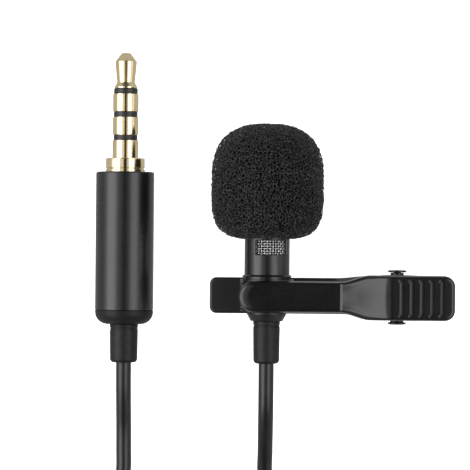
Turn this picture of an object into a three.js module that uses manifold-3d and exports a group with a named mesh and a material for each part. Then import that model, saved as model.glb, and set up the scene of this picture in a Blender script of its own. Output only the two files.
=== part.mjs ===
// A clip-on lavalier microphone: a capsule in a slim metal barrel under a foam windscreen, a sprung
// tie clip that slides and swivels on the barrel, and a thin lead to a four-pole 3.5 mm plug.
// It lies flat on a table at z = 0, microphone and plug side by side, with the spare lead coiled.
import * as THREE from 'three';
import { mergeVertices } from 'three/addons/utils/BufferGeometryUtils.js';
import Module from 'manifold-3d';

const wasm = await Module();
wasm.setup();

// ---------------------------------------------------------------------------------------------
// Driving dimensions, in millimetres. Y is measured from the clip's centre line, X from the
// microphone's axis and Z from the table, until the last group moves the origin.
// ---------------------------------------------------------------------------------------------
const FINE = 32; // sides of a turned piece that shows
const COARSE = 20; // sides of a turned piece that is hidden
const CURVE_STEPS = 6; // of each curve in a drawn outline
const WIRE_SIDES = 8;
const EDGE_STEPS = 4; // steps round a rounded edge
const REST_GAP = 0.3; // between pieces that rest on each other
const FIT = 0.05; // between pieces that are pressed or glued together
const RUN = 0.1; // between pieces that turn or slide on each other
const SOFT_GAP = 0.15; // between a soft piece and what it is pushed onto
const OVERLAP = 0.5; // how far joined shapes run into each other, and cutters past what they cut

// microphone barrel and its insides
const MIC_AXIS_Z = 7.6;
const BARREL_RADIUS = 3;
const BARREL_WALL = 0.35;
const BARREL_LENGTH = 19;
const BARREL_BOTTOM = -2;
const WINDOW_COUNT = 2;
const WINDOW_ARC = 93; // degrees round the barrel
const WINDOW_CENTRE = 14.5; // degrees from straight up, towards +X
const WINDOW_HEIGHT = 2;
const WINDOW_BOTTOM = 5.5;
const MESH_WALL = 0.15;
const MESH_OVERLAP = 0.9; // the mesh reaches this far past each window
const CAPSULE_RADIUS = 2;
const CAPSULE_LENGTH = 2.2;
const CAPSULE_WALL = 0.2;
const CAPSULE_DEPTH = 2.8; // the barrel's mouth to the capsule's front
const SOUND_HOLE_RADIUS = 0.3;
const GASKET_OVERHANG = 0.4; // past each end of the capsule
const BOARD_THICKNESS = 0.3;
const BACKPLATE_THICKNESS = 0.3;
const BACKPLATE_DEPTH = 0.6; // its front below the can's front wall
const BACKPLATE_INSET = 0.2;
const DIAPHRAGM_THICKNESS = 0.2;
const DIAPHRAGM_DEPTH = 0.15;
const CAP_THICKNESS = 0.7;
const CAP_HOLES = 6;
const CAP_HOLE_CIRCLE = 1.5;

// tail nut and strain relief
const NUT_RADIUS = 2.62;
const NUT_END_RADIUS = 2.19;
const NUT_LENGTH = 1.3;
const NUT_SPIGOT = 2.4;
const NUT_RIM = 0.33; // its straight part above the cone
const BOOT_RADIUS = 1.74;
const BOOT_LENGTH = 5.66;
const BOOT_SPIGOT_RADIUS = 1.25;
const BOOT_SPIGOT_LENGTH = 1.8;
const BOOT_BORE = 0.95;
const BOOT_EDGE = 0.5;
const MIC_WIRE_RADIUS = 0.3;
const MIC_WIRE_SPREAD = 0.45;

// foam windscreen
const FOAM_RADIUS = 7.5;
const FOAM_LENGTH = 15.36;
const FOAM_BOTTOM = 7.57;
const FOAM_TOP_POWER = 2.65; // how square the dome is: 2 would be an ellipse
const FOAM_BOTTOM_POWER = 3.5;
const FOAM_STEPS = 18; // along the outline, from its foot to its crown
const FOAM_MOUTH = 0.5; // flat ring left round the bore

// sliding sleeve
const SLEEVE_WALL = 0.25;
const SLEEVE_FLANGE = 0.25; // its thickness, and how far it stands out
const SLEEVE_SLIT = 0.6;

// clip
const RING_WALL = 0.6;
const RING_BOTTOM = -1.6;
const RING_TOP = 2.5;
const RING_CHAMFER = 0.5;
const ARM_TIP = -3.7;
const ARM_HALF_WIDTH = 2.1;
const ARM_THICKNESS = 1.2;
const CREASE = 9.6; // where both levers bend away from each other
const SHOULDER = 13.6; // where the outer lever reaches its full width
const CREST = 15.8; // where both levers level out again
const GRIP_END = 24.3;
const GRIP_HALF_WIDTH = 2.925;
const GRIP_RISE = 2.4;
const GRIP_DIP = 0.2; // the grip's end stands this much below its crest
const GRIP_DEPTH = 2.5; // height of the grip's side skirts
const GRIP_ROOF = 1.1;
const SIDE_WALL = 0.75;
const CORNER_RADIUS = 1.4;
const RIB_COUNT = 5;
const RIB_FIRST = 17.2;
const RIB_PITCH = 1.33;
const RIB_DEPTH = 0.3;
const RIB_SHARE = 0.75; // of the pitch that each groove takes
const FOOT_HALF_LENGTH = 1.9;
const FOOT_DROP = 0.35; // wall left under the ring's bore, where the ring is cut flat
const TEETH = 3;
const TOOTH = 0.3;
const PLATE_TIP = -7.62;
const PLATE_HALF_WIDTH = 2.35;
const PLATE_THICKNESS = 1.1;
const PLATE_CORNER = 0.9;
const TAIL_END = 23.8;
const TAIL_HALF_WIDTH = 2.7;
const PIN_X = 17.3;
const PIN_RADIUS = 0.88;
const PIN_STANDOUT = 0.36; // of its neck past the outer ears
const PIN_HEAD_RADIUS = 1.24;
const PIN_HEAD = 0.3;
const PIN_STUD_RADIUS = 0.5;
const EAR_RADIUS = 1.7;
const EAR_BASE = 5.2; // the ears' length where they meet their lever
const INNER_EAR_WALL = 0.7;
const EAR_GAP = 0.2;
const SPRING_WIRE = 0.4;
const SPRING_HALF_WIDTH = 1.05;
const SPRING_REACH = 5.2; // the legs' feet past the pin, along X

// plug
const PLUG_OFFSET = 19.1; // plug axis to microphone axis
const PLUG_SHOULDER_Y = 18.4;
const PLUG_RADIUS = 3.9;
const PLUG_WALL = 0.8;
const PLUG_BARREL_LENGTH = 18.5;
const PLUG_FRONT_WALL = 1.2;
const PLUG_CAP_LENGTH = 1.87;
const PLUG_CAP_EDGE = 1.6;
const PLUG_CAP_SPIGOT = 2;
const PLUG_BOOT_RADIUS = 1.83;
const PLUG_BOOT_LENGTH = 5.1;
const COLLAR_RADIUS = 2.62;
const COLLAR_LENGTH = 1.9;
const STEM_RADIUS = 2.25;
const STEM_LENGTH = 4.2;
const JACK_LENGTH = 14;
const TIP_LENGTH = 4.75;
const RING_LENGTH = 2.35;
const INSULATOR_LENGTH = 0.68;
const CONTACT_GAP = 0.04;
const TIP_RADIUS = 1.46;
const TIP_NECK_RADIUS = 1.2;
const TIP_FLAT_RADIUS = 0.6;
const TIP_CONE = 0.98;
const TIP_FLARE = 0.75;
const TIP_RIM = 0.25; // straight part behind the neck
const TIP_RIM_RADIUS = 1.54;
const TIP_ROD_RADIUS = 0.35;
const JACK_RADIUS = 1.75;
const JACK_SLEEVE_WALL = 0.3;
const RING_RECESS = 0.03; // the rings stand this far below the sleeve
const INSULATOR_RECESS = 0.15;
const TERMINAL_STEP = 1; // each contact's tail stands out this far behind the next one's
const MOULD_LENGTH = 13.7;
const PLUG_WIRES = 3;
const PLUG_WIRE_RADIUS = 0.25;
const PLUG_WIRE_CIRCLE = 0.55;

// lead: a straight stretch from each end, and a coil of the rest
const CORD_RADIUS = 1;
const CORD_SIDES = 8;
const CORD_STEP = 4;
const COIL_MEAN_RADIUS = 11.62;
const COIL_HALF_WIDTH = 6.1;
const COIL_HEIGHT = 8.1;
const COIL_Y = -46;
const TIE_THICKNESS = 0.4;
const TIE_WIDTH = 3;
const TIE_SLACK = 0.6; // spare room in the tie, on the coil's inside

// ---------------------------------------------------------------------------------------------
// Sizes that follow from those
// ---------------------------------------------------------------------------------------------
const BARREL_TOP = BARREL_BOTTOM + BARREL_LENGTH;
const ARM_TIP_CORNER = ARM_HALF_WIDTH - 0.01; // all but a half circle
const BARREL_BORE = BARREL_RADIUS - BARREL_WALL;
const SLEEVE_BORE = BARREL_RADIUS + RUN;
const SLEEVE_OUTER = SLEEVE_BORE + SLEEVE_WALL;
const RING_BORE = SLEEVE_OUTER + RUN;
const RING_OUTER = RING_BORE + RING_WALL;
const ARM_TOP = RING_BORE + ARM_THICKNESS;
const GRIP_TOP = ARM_TOP + GRIP_RISE;
const GRIP_UNDERSIDE = GRIP_TOP - GRIP_DEPTH;
const GRIP_CEILING = GRIP_TOP - GRIP_DIP - GRIP_ROOF;
const FOOT_Z = -RING_BORE - FOOT_DROP;
const PLATE_TOP = FOOT_Z - REST_GAP;
const PLATE_UNDERSIDE = PLATE_TOP - PLATE_THICKNESS;
const TAIL_UNDERSIDE = -MIC_AXIS_Z;
const TAIL_TOP = TAIL_UNDERSIDE + PLATE_THICKNESS;
const INNER_EAR_OUTER = GRIP_HALF_WIDTH - SIDE_WALL - EAR_GAP;
const NUT_END = BARREL_BOTTOM - NUT_LENGTH;
const BOOT_END = NUT_END - BOOT_LENGTH;
const CAPSULE_TOP = BARREL_TOP - CAPSULE_DEPTH;
const CAPSULE_BOTTOM = CAPSULE_TOP - CAPSULE_LENGTH;
const JACK_SLEEVE_BORE = JACK_RADIUS - JACK_SLEEVE_WALL;
const MOULD_BORE = JACK_SLEEVE_BORE + SOFT_GAP;
const PLUG_BACK = -COLLAR_LENGTH - FIT - PLUG_BARREL_LENGTH;
const PLUG_CAP_END = PLUG_BACK - FIT - PLUG_CAP_LENGTH;
const PLUG_BOOT_END = PLUG_CAP_END - FIT - PLUG_BOOT_LENGTH;
const TIP_TAIL = -STEM_LENGTH - COLLAR_LENGTH - 3 * TERMINAL_STEP;
const COIL_X = -PLUG_OFFSET / 2;
const COIL_BOTTOM = TIE_THICKNESS + REST_GAP;

// ---------------------------------------------------------------------------------------------
// Finishes
// ---------------------------------------------------------------------------------------------
const finish = (color, roughness, metalness) =>
  new THREE.MeshStandardMaterial({ color, roughness, metalness });
const BLACK_ANODISED = finish(0x2a2a2c, 0.35, 0.8);
const BLACK_PLASTIC = finish(0x1d1d1f, 0.38, 0);
const BLACK_RUBBER = finish(0x202021, 0.6, 0);
const BLACK_FOAM = finish(0x161617, 1, 0);
const GOLD = finish(0xe6c88c, 0.18, 1);
const STEEL = finish(0xb9babc, 0.3, 1);
const DARK_STEEL = finish(0x242425, 0.35, 0.9);
const BOARD = finish(0x2f5d3a, 0.5, 0);
const FILM = finish(0xd8d8da, 0.2, 0.6);
const WIRE_COLOURS = [0xb02a22, 0xdadada, 0x24508f];

// ---------------------------------------------------------------------------------------------
// Geometry helpers
// ---------------------------------------------------------------------------------------------
const mesh = (name, geometry, material) => {
  const piece = new THREE.Mesh(geometry, material);
  piece.name = name;
  return piece;
};

// A piece turned about Y, from [radius, y] points that run up the outside.
const turned = (points, sides = COARSE) =>
  new THREE.LatheGeometry(points.map(([r, y]) => new THREE.Vector2(r, y)), sides);

const tube = (inner, outer, low, high, sides = COARSE) =>
  turned([[inner, low], [outer, low], [outer, high], [inner, high], [inner, low]], sides);

const rod = (radius, low, high, sides = COARSE) =>
  turned([[0, low], [radius, low], [radius, high], [0, high]], sides);

// Profile points round the lower outer edge of a turned piece.
const roundEdge = (radius, low, edge) =>
  Array.from({ length: EDGE_STEPS + 1 }, (_, i) => {
    const turn = (i / EDGE_STEPS) * (Math.PI / 2);
    return [radius - edge + edge * Math.sin(turn), low + edge - edge * Math.cos(turn)];
  });

// A shape drawn in X and Z, pushed along Y.
const alongY = (shape, low, high) =>
  new THREE.ExtrudeGeometry(shape,
    { depth: high - low, bevelEnabled: false, curveSegments: CURVE_STEPS })
    .rotateX(Math.PI / 2)
    .translate(0, high, 0);

// A shape drawn in X and Y, pushed along Z.
const alongZ = (shape, low, high) =>
  new THREE.ExtrudeGeometry(shape,
    { depth: high - low, bevelEnabled: false, curveSegments: CURVE_STEPS })
    .translate(0, 0, low);

const polygon = (points) => new THREE.Shape(points.map(([x, y]) => new THREE.Vector2(x, y)));

const box = (x0, x1, y0, y1, z0, z1) =>
  new THREE.BoxGeometry(x1 - x0, y1 - y0, z1 - z0)
    .translate((x0 + x1) / 2, (y0 + y1) / 2, (z0 + z1) / 2);

// A straight round bar between two points.
function bar(from, to, radius, sides) {
  const along = new THREE.Vector3().subVectors(to, from);
  const turn = new THREE.Quaternion()
    .setFromUnitVectors(new THREE.Vector3(0, 1, 0), along.clone().normalize());
  return new THREE.CylinderGeometry(radius, radius, along.length(), sides)
    .applyQuaternion(turn)
    .translate((from.x + to.x) / 2, (from.y + to.y) / 2, (from.z + to.z) / 2);
}

function solid(geometry) {
  const bare = geometry.clone();
  bare.deleteAttribute('normal');
  bare.deleteAttribute('uv');
  const merged = mergeVertices(bare, 1e-4);
  return new wasm.Manifold(new wasm.Mesh({
    numProp: 3,
    vertProperties: Float32Array.from(merged.attributes.position.array),
    triVerts: Uint32Array.from(merged.index.array),
  }));
}

const join = (...geometries) => geometries.map(solid).reduce((whole, next) => whole.add(next));
const cut = (whole, ...geometries) =>
  geometries.map(solid).reduce((left, next) => left.subtract(next), whole);

function geometryOf(body) {
  const { vertProperties, triVerts } = body.getMesh();
  const geometry = new THREE.BufferGeometry();
  geometry.setAttribute('position', new THREE.BufferAttribute(vertProperties, 3));
  geometry.setIndex(new THREE.BufferAttribute(triVerts, 1));
  geometry.computeVertexNormals();
  return geometry;
}

// ---------------------------------------------------------------------------------------------
// Microphone: everything here is turned about its own Y axis
// ---------------------------------------------------------------------------------------------
function micBarrel() {
  const shell = tube(BARREL_BORE, BARREL_RADIUS, BARREL_BOTTOM, BARREL_TOP, FINE);
  const reach = 2 * BARREL_RADIUS;
  const windows = [];
  for (let i = 0; i < WINDOW_COUNT; i += 1) {
    const middle = THREE.MathUtils.degToRad(90 - WINDOW_CENTRE + (i * 360) / WINDOW_COUNT);
    const half = THREE.MathUtils.degToRad(WINDOW_ARC / 2);
    const wedge = new THREE.Shape();
    wedge.moveTo(0, 0);
    wedge.absarc(0, 0, reach, middle - half, middle + half, false);
    windows.push(alongY(wedge, WINDOW_BOTTOM, WINDOW_BOTTOM + WINDOW_HEIGHT));
  }
  return mesh('mic_barrel', geometryOf(cut(solid(shell), ...windows)), BLACK_ANODISED);
}

function meshGrille() {
  const outer = BARREL_BORE - RUN;
  const low = WINDOW_BOTTOM - MESH_OVERLAP;
  const high = WINDOW_BOTTOM + WINDOW_HEIGHT + MESH_OVERLAP;
  return mesh('mesh_grille', tube(outer - MESH_WALL, outer, low, high), STEEL);
}

function barrelCap() {
  const low = BARREL_TOP - CAP_THICKNESS - RUN;
  const high = BARREL_TOP - RUN;
  const hole = (x, z) =>
    rod(SOUND_HOLE_RADIUS, low - OVERLAP, high + OVERLAP, WIRE_SIDES).translate(x, 0, z);
  const holes = [hole(0, 0)];
  for (let i = 0; i < CAP_HOLES; i += 1) {
    const turn = (i / CAP_HOLES) * 2 * Math.PI;
    holes.push(hole(CAP_HOLE_CIRCLE * Math.cos(turn), CAP_HOLE_CIRCLE * Math.sin(turn)));
  }
  const disc = solid(rod(BARREL_BORE - FIT, low, high));
  return mesh('barrel_cap', geometryOf(cut(disc, ...holes)), BLACK_ANODISED);
}

function capsule() {
  const bore = CAPSULE_RADIUS - CAPSULE_WALL;
  const inner = bore - FIT;
  const front = CAPSULE_TOP - CAPSULE_WALL;
  const can = turned([
    [bore, CAPSULE_BOTTOM], [CAPSULE_RADIUS, CAPSULE_BOTTOM], [CAPSULE_RADIUS, CAPSULE_TOP],
    [SOUND_HOLE_RADIUS, CAPSULE_TOP], [SOUND_HOLE_RADIUS, front], [bore, front],
    [bore, CAPSULE_BOTTOM],
  ]);
  const gasket = tube(CAPSULE_RADIUS + FIT, BARREL_BORE - FIT, CAPSULE_BOTTOM - GASKET_OVERHANG,
    CAPSULE_TOP + GASKET_OVERHANG);
  const board = rod(inner, CAPSULE_BOTTOM + FIT, CAPSULE_BOTTOM + FIT + BOARD_THICKNESS);
  const backplateTop = front - BACKPLATE_DEPTH;
  const backplate = tube(SOUND_HOLE_RADIUS, inner - BACKPLATE_INSET,
    backplateTop - BACKPLATE_THICKNESS, backplateTop);
  const diaphragmTop = front - DIAPHRAGM_DEPTH;
  const diaphragm = rod(inner, diaphragmTop - DIAPHRAGM_THICKNESS, diaphragmTop);
  return [
    mesh('capsule_can', can, STEEL),
    mesh('capsule_gasket', gasket, BLACK_RUBBER),
    mesh('capsule_board', board, BOARD),
    mesh('capsule_backplate', backplate, GOLD),
    mesh('capsule_diaphragm', diaphragm, FILM),
  ];
}

function micWires() {
  return [-1, 1].map((side, i) => {
    const wire = rod(MIC_WIRE_RADIUS, NUT_END + REST_GAP, CAPSULE_BOTTOM - FIT, WIRE_SIDES)
      .translate(side * MIC_WIRE_SPREAD, 0, 0);
    return mesh(`mic_wire_${i + 1}`, wire, finish(WIRE_COLOURS[i], 0.5, 0));
  });
}

function tailNut() {
  const bore = BOOT_SPIGOT_RADIUS + FIT;
  const neck = BARREL_BORE - FIT;
  const top = BARREL_BOTTOM - FIT;
  const profile = [
    [bore, NUT_END], [NUT_END_RADIUS, NUT_END], [NUT_RADIUS, top - NUT_RIM], [NUT_RADIUS, top],
    [neck, top], [neck, BARREL_BOTTOM + NUT_SPIGOT], [bore, BARREL_BOTTOM + NUT_SPIGOT],
    [bore, NUT_END],
  ];
  return mesh('tail_nut', turned(profile, FINE), BLACK_ANODISED);
}

// A moulded strain relief that hangs from y = top, with a spigot up into what holds it.
function boot(name, radius, length, top) {
  const end = top - length;
  const profile = [
    [BOOT_BORE, end], ...roundEdge(radius, end, BOOT_EDGE), [radius, top], [BOOT_SPIGOT_RADIUS, top],
    [BOOT_SPIGOT_RADIUS, top + BOOT_SPIGOT_LENGTH], [BOOT_BORE, top + BOOT_SPIGOT_LENGTH],
    [BOOT_BORE, end],
  ];
  return mesh(name, turned(profile, FINE), BLACK_RUBBER);
}

// The foam's outline is two quarter super-ellipses, squarer below than above.
function windscreen() {
  const half = FOAM_LENGTH / 2;
  const middle = FOAM_BOTTOM + half;
  const bore = BARREL_RADIUS + SOFT_GAP;
  const roof = BARREL_TOP + SOFT_GAP;
  const outline = [];
  for (let i = 0; i < FOAM_STEPS; i += 1) {
    const turn = -Math.PI / 2 + (i / FOAM_STEPS) * Math.PI;
    const power = turn < 0 ? FOAM_BOTTOM_POWER : FOAM_TOP_POWER;
    const radius = FOAM_RADIUS * Math.cos(turn) ** (2 / power);
    const height = half * Math.sign(turn) * Math.abs(Math.sin(turn)) ** (2 / power);
    if (radius > bore + FOAM_MOUTH) outline.push([radius, middle + height]);
  }
  const profile = [[0, roof], [bore, roof], [bore, FOAM_BOTTOM], ...outline, [0, middle + half]];
  return mesh('windscreen_foam', turned(profile, FINE), BLACK_FOAM);
}

// ---------------------------------------------------------------------------------------------
// Clip: drawn with the microphone's axis at x = 0, z = 0
// ---------------------------------------------------------------------------------------------
// The split sleeve grips the barrel; the clip's ring turns between its two flanges.
function gripSleeve() {
  const low = RING_BOTTOM - RUN - SLEEVE_FLANGE;
  const high = RING_TOP + RUN + SLEEVE_FLANGE;
  const flange = SLEEVE_OUTER + SLEEVE_FLANGE;
  const body = turned([
    [SLEEVE_BORE, low], [flange, low], [flange, low + SLEEVE_FLANGE],
    [SLEEVE_OUTER, low + SLEEVE_FLANGE], [SLEEVE_OUTER, high - SLEEVE_FLANGE],
    [flange, high - SLEEVE_FLANGE], [flange, high], [SLEEVE_BORE, high], [SLEEVE_BORE, low],
  ], FINE);
  const slit = box(-SLEEVE_SLIT / 2, SLEEVE_SLIT / 2, low - OVERLAP, high + OVERLAP, -2 * flange, 0);
  return mesh('grip_sleeve', geometryOf(cut(solid(body), slit)), BLACK_PLASTIC);
}

// A lever's outline from above: a straight arm, a smooth widening and a rounded grip.
function leverPlan(tip, armHalf, tipCorner, gripHalf, end, corner) {
  const shape = new THREE.Shape();
  const middle = (CREASE + SHOULDER) / 2;
  shape.moveTo(tip + tipCorner, -armHalf);
  shape.lineTo(CREASE, -armHalf);
  shape.bezierCurveTo(middle, -armHalf, middle, -gripHalf, SHOULDER, -gripHalf);
  shape.lineTo(end - corner, -gripHalf);
  shape.absarc(end - corner, -gripHalf + corner, corner, -Math.PI / 2, 0, false);
  shape.absarc(end - corner, gripHalf - corner, corner, 0, Math.PI / 2, false);
  shape.lineTo(SHOULDER, gripHalf);
  shape.bezierCurveTo(middle, gripHalf, middle, armHalf, CREASE, armHalf);
  shape.lineTo(tip + tipCorner, armHalf);
  shape.absarc(tip + tipCorner, armHalf - tipCorner, tipCorner, Math.PI / 2, Math.PI, false);
  shape.absarc(tip + tipCorner, tipCorner - armHalf, tipCorner, Math.PI, 1.5 * Math.PI, false);
  return shape;
}

// An ear seen from the side: round about the pin, and wider where it meets its lever at z = root.
function earShape(root) {
  const side = Math.sign(root);
  const shape = new THREE.Shape();
  const half = EAR_BASE / 2;
  shape.moveTo(PIN_X + side * half, root);
  shape.lineTo(PIN_X - side * half, root);
  shape.lineTo(PIN_X - side * EAR_RADIUS, 0);
  shape.absarc(PIN_X, 0, EAR_RADIUS, side > 0 ? Math.PI : 0, side > 0 ? 2 * Math.PI : Math.PI,
    false);
  return shape;
}

const pairOfEars = (root, inner, outer) =>
  [[-outer, -inner], [inner, outer]].map(([low, high]) => alongY(earShape(root), low, high));

const pinHole = (radius) =>
  rod(radius, -2 * GRIP_HALF_WIDTH, 2 * GRIP_HALF_WIDTH).translate(PIN_X, 0, 0);

function gripRibs() {
  const ribs = [];
  for (let i = 0; i < RIB_COUNT; i += 1) {
    const x = RIB_FIRST + i * RIB_PITCH;
    const top = GRIP_TOP + OVERLAP;
    const wedge = polygon([
      [x, GRIP_TOP - GRIP_DIP - RIB_DEPTH], [x + RIB_SHARE * RIB_PITCH, top], [x, top],
    ]);
    ribs.push(alongY(wedge, SIDE_WALL - GRIP_HALF_WIDTH, GRIP_HALF_WIDTH - SIDE_WALL));
  }
  return ribs;
}

function outerLever() {
  const side = polygon([
    [ARM_TIP, RING_BORE], [CREASE, RING_BORE], [CREST, GRIP_UNDERSIDE],
    [GRIP_END, GRIP_UNDERSIDE], [GRIP_END, GRIP_TOP - GRIP_DIP], [CREST, GRIP_TOP],
    [CREASE, ARM_TOP], [ARM_TIP, ARM_TOP],
  ]);
  const plan = leverPlan(ARM_TIP, ARM_HALF_WIDTH, ARM_TIP_CORNER, GRIP_HALF_WIDTH, GRIP_END,
    CORNER_RADIUS);
  const blank = solid(alongY(side, -GRIP_HALF_WIDTH, GRIP_HALF_WIDTH))
    .intersect(solid(alongZ(plan, 0, 2 * GRIP_TOP)));
  const hollowHalf = GRIP_HALF_WIDTH - SIDE_WALL;
  const hollow = box(SHOULDER + SIDE_WALL, GRIP_END - SIDE_WALL, -hollowHalf, hollowHalf,
    RING_BORE - OVERLAP, GRIP_CEILING);
  const ring = turned([
    [RING_BORE - OVERLAP, RING_BOTTOM], [RING_OUTER - RING_CHAMFER, RING_BOTTOM],
    [RING_OUTER, RING_BOTTOM + RING_CHAMFER], [RING_OUTER, RING_TOP - RING_CHAMFER],
    [RING_OUTER - RING_CHAMFER, RING_TOP], [RING_BORE - OVERLAP, RING_TOP],
    [RING_BORE - OVERLAP, RING_BOTTOM],
  ], FINE);
  const foot = box(-FOOT_HALF_LENGTH, FOOT_HALF_LENGTH, RING_BOTTOM, ARM_HALF_WIDTH, FOOT_Z,
    2 * OVERLAP - RING_BORE);
  const grooves = [];
  for (let i = 1; i <= TEETH; i += 1) {
    const x = -FOOT_HALF_LENGTH + (2 * FOOT_HALF_LENGTH * i) / (TEETH + 1);
    const groove = polygon([[x - TOOTH, FOOT_Z - TOOTH / 2], [x + TOOTH, FOOT_Z - TOOTH / 2],
      [x, FOOT_Z + TOOTH / 2]]);
    grooves.push(alongY(groove, RING_BOTTOM - OVERLAP, ARM_HALF_WIDTH + OVERLAP));
  }
  const belowFoot = box(-RING_OUTER, RING_OUTER, RING_BOTTOM - OVERLAP, RING_TOP + OVERLAP,
    -RING_OUTER - OVERLAP, FOOT_Z);
  const shell = cut(blank, hollow, ...gripRibs());
  const ears = join(...pairOfEars(GRIP_UNDERSIDE + OVERLAP, hollowHalf, GRIP_HALF_WIDTH));
  const bore = rod(RING_BORE, RING_BOTTOM - OVERLAP, RING_TOP + OVERLAP, FINE);
  const flangeSeat = rod(SLEEVE_OUTER + SLEEVE_FLANGE + RUN, -2 * ARM_HALF_WIDTH, RING_BOTTOM, FINE);
  const whole = cut(shell.add(ears).add(join(ring, foot)), bore, flangeSeat, belowFoot,
    pinHole(PIN_RADIUS + FIT), ...grooves);
  return mesh('outer_lever', geometryOf(whole), BLACK_PLASTIC);
}

function innerLever() {
  const side = polygon([
    [PLATE_TIP, PLATE_UNDERSIDE], [CREASE, PLATE_UNDERSIDE], [CREST, TAIL_UNDERSIDE],
    [TAIL_END, TAIL_UNDERSIDE], [TAIL_END, TAIL_TOP], [CREST, TAIL_TOP],
    [CREASE, PLATE_TOP], [PLATE_TIP, PLATE_TOP],
  ]);
  const plan = leverPlan(PLATE_TIP, PLATE_HALF_WIDTH, PLATE_CORNER, TAIL_HALF_WIDTH, TAIL_END,
    CORNER_RADIUS);
  const blank = solid(alongY(side, -TAIL_HALF_WIDTH, TAIL_HALF_WIDTH))
    .intersect(solid(alongZ(plan, 2 * TAIL_UNDERSIDE, 0)));
  const ears = pairOfEars(TAIL_TOP - OVERLAP, INNER_EAR_OUTER - INNER_EAR_WALL, INNER_EAR_OUTER);
  const whole = cut(blank.add(join(...ears)), pinHole(PIN_RADIUS + RUN));
  return mesh('inner_lever', geometryOf(whole), BLACK_PLASTIC);
}

function pivotPin() {
  const face = GRIP_HALF_WIDTH + PIN_STANDOUT;
  const shaft = turned([
    [0, -face - PIN_HEAD], [PIN_HEAD_RADIUS, -face - PIN_HEAD], [PIN_HEAD_RADIUS, -face],
    [PIN_RADIUS, -face], [PIN_RADIUS, face - FIT], [PIN_STUD_RADIUS, face - FIT],
    [PIN_STUD_RADIUS, face + PIN_HEAD], [0, face + PIN_HEAD],
  ]).translate(PIN_X, 0, 0);
  const washer = tube(PIN_STUD_RADIUS + FIT, PIN_HEAD_RADIUS, face, face + PIN_HEAD)
    .translate(PIN_X, 0, 0);
  return [mesh('pivot_pin', shaft, DARK_STEEL), mesh('pin_washer', washer, DARK_STEEL)];
}

// The spring's coil sits between the inner ears, and a leg presses on each lever's grip.
function torsionSpring() {
  const inner = PIN_RADIUS + RUN;
  const middle = inner + SPRING_WIRE / 2;
  const legY = SPRING_HALF_WIDTH - SPRING_WIRE;
  const margin = SPRING_WIRE / 2 + RUN;
  const leg = (footZ, y) => {
    const reach = Math.hypot(SPRING_REACH, footZ);
    const turn = Math.atan2(Math.abs(footZ), SPRING_REACH) + Math.acos(middle / reach);
    const start = new THREE.Vector3(PIN_X + middle * Math.cos(turn), y,
      Math.sign(footZ) * middle * Math.sin(turn));
    return bar(start, new THREE.Vector3(PIN_X + SPRING_REACH, y, footZ), SPRING_WIRE / 2,
      WIRE_SIDES);
  };
  const coil = tube(inner, inner + SPRING_WIRE, -SPRING_HALF_WIDTH, SPRING_HALF_WIDTH)
    .translate(PIN_X, 0, 0);
  const whole = join(coil, leg(GRIP_CEILING - margin, legY), leg(TAIL_TOP + margin, -legY));
  return mesh('torsion_spring', geometryOf(cut(whole, pinHole(inner))), STEEL);
}

// ---------------------------------------------------------------------------------------------
// Plug: drawn with its axis along Y and the jack's shoulder at y = 0
// ---------------------------------------------------------------------------------------------
function jackTip() {
  const low = JACK_LENGTH - TIP_LENGTH;
  return mesh('jack_tip', turned([
    [0, TIP_TAIL], [TIP_ROD_RADIUS, TIP_TAIL], [TIP_ROD_RADIUS, low], [TIP_RIM_RADIUS, low],
    [TIP_RIM_RADIUS, low + TIP_RIM], [TIP_NECK_RADIUS, low + TIP_FLARE],
    [TIP_RADIUS, JACK_LENGTH - TIP_CONE], [TIP_FLAT_RADIUS, JACK_LENGTH], [0, JACK_LENGTH],
  ], FINE), GOLD);
}

// A contact or an insulator: a head that shows between two others, on a tube back to the solder.
const coaxial = (name, bore, tubeRadius, headRadius, tail, low, high, material) =>
  mesh(name, turned([
    [bore, tail], [tubeRadius, tail], [tubeRadius, low], [headRadius, low], [headRadius, high],
    [bore, high], [bore, tail],
  ], FINE), material);

// The six pieces behind the tip nest in each other, alternately insulator and contact.
function jackStack() {
  const pieces = [];
  const kinds = ['insulator_1', 'jack_ring_1', 'insulator_2', 'jack_ring_2', 'insulator_3'];
  const tubeWall = (JACK_SLEEVE_BORE - TIP_ROD_RADIUS) / kinds.length - CONTACT_GAP;
  let bore = TIP_ROD_RADIUS + CONTACT_GAP;
  let high = JACK_LENGTH - TIP_LENGTH - CONTACT_GAP;
  kinds.forEach((name, i) => {
    const insulates = i % 2 === 0;
    const low = high - (insulates ? INSULATOR_LENGTH : RING_LENGTH);
    const head = JACK_RADIUS - (insulates ? INSULATOR_RECESS : RING_RECESS);
    const tail = TIP_TAIL + ((i + 1) * TERMINAL_STEP) / 2;
    const material = insulates ? BLACK_PLASTIC : GOLD;
    pieces.push(coaxial(name, bore, bore + tubeWall, head, tail, low, high, material));
    bore += tubeWall + CONTACT_GAP;
    high = low - CONTACT_GAP;
  });
  const stem = -COLLAR_LENGTH - STEM_LENGTH;
  pieces.push(mesh('jack_sleeve', turned([
    [bore, stem], [STEM_RADIUS, stem], [STEM_RADIUS, -COLLAR_LENGTH],
    [COLLAR_RADIUS, -COLLAR_LENGTH], [COLLAR_RADIUS, 0], [JACK_RADIUS, 0],
    [JACK_RADIUS, high], [bore, high], [bore, stem],
  ], FINE), GOLD));
  return pieces;
}

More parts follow.
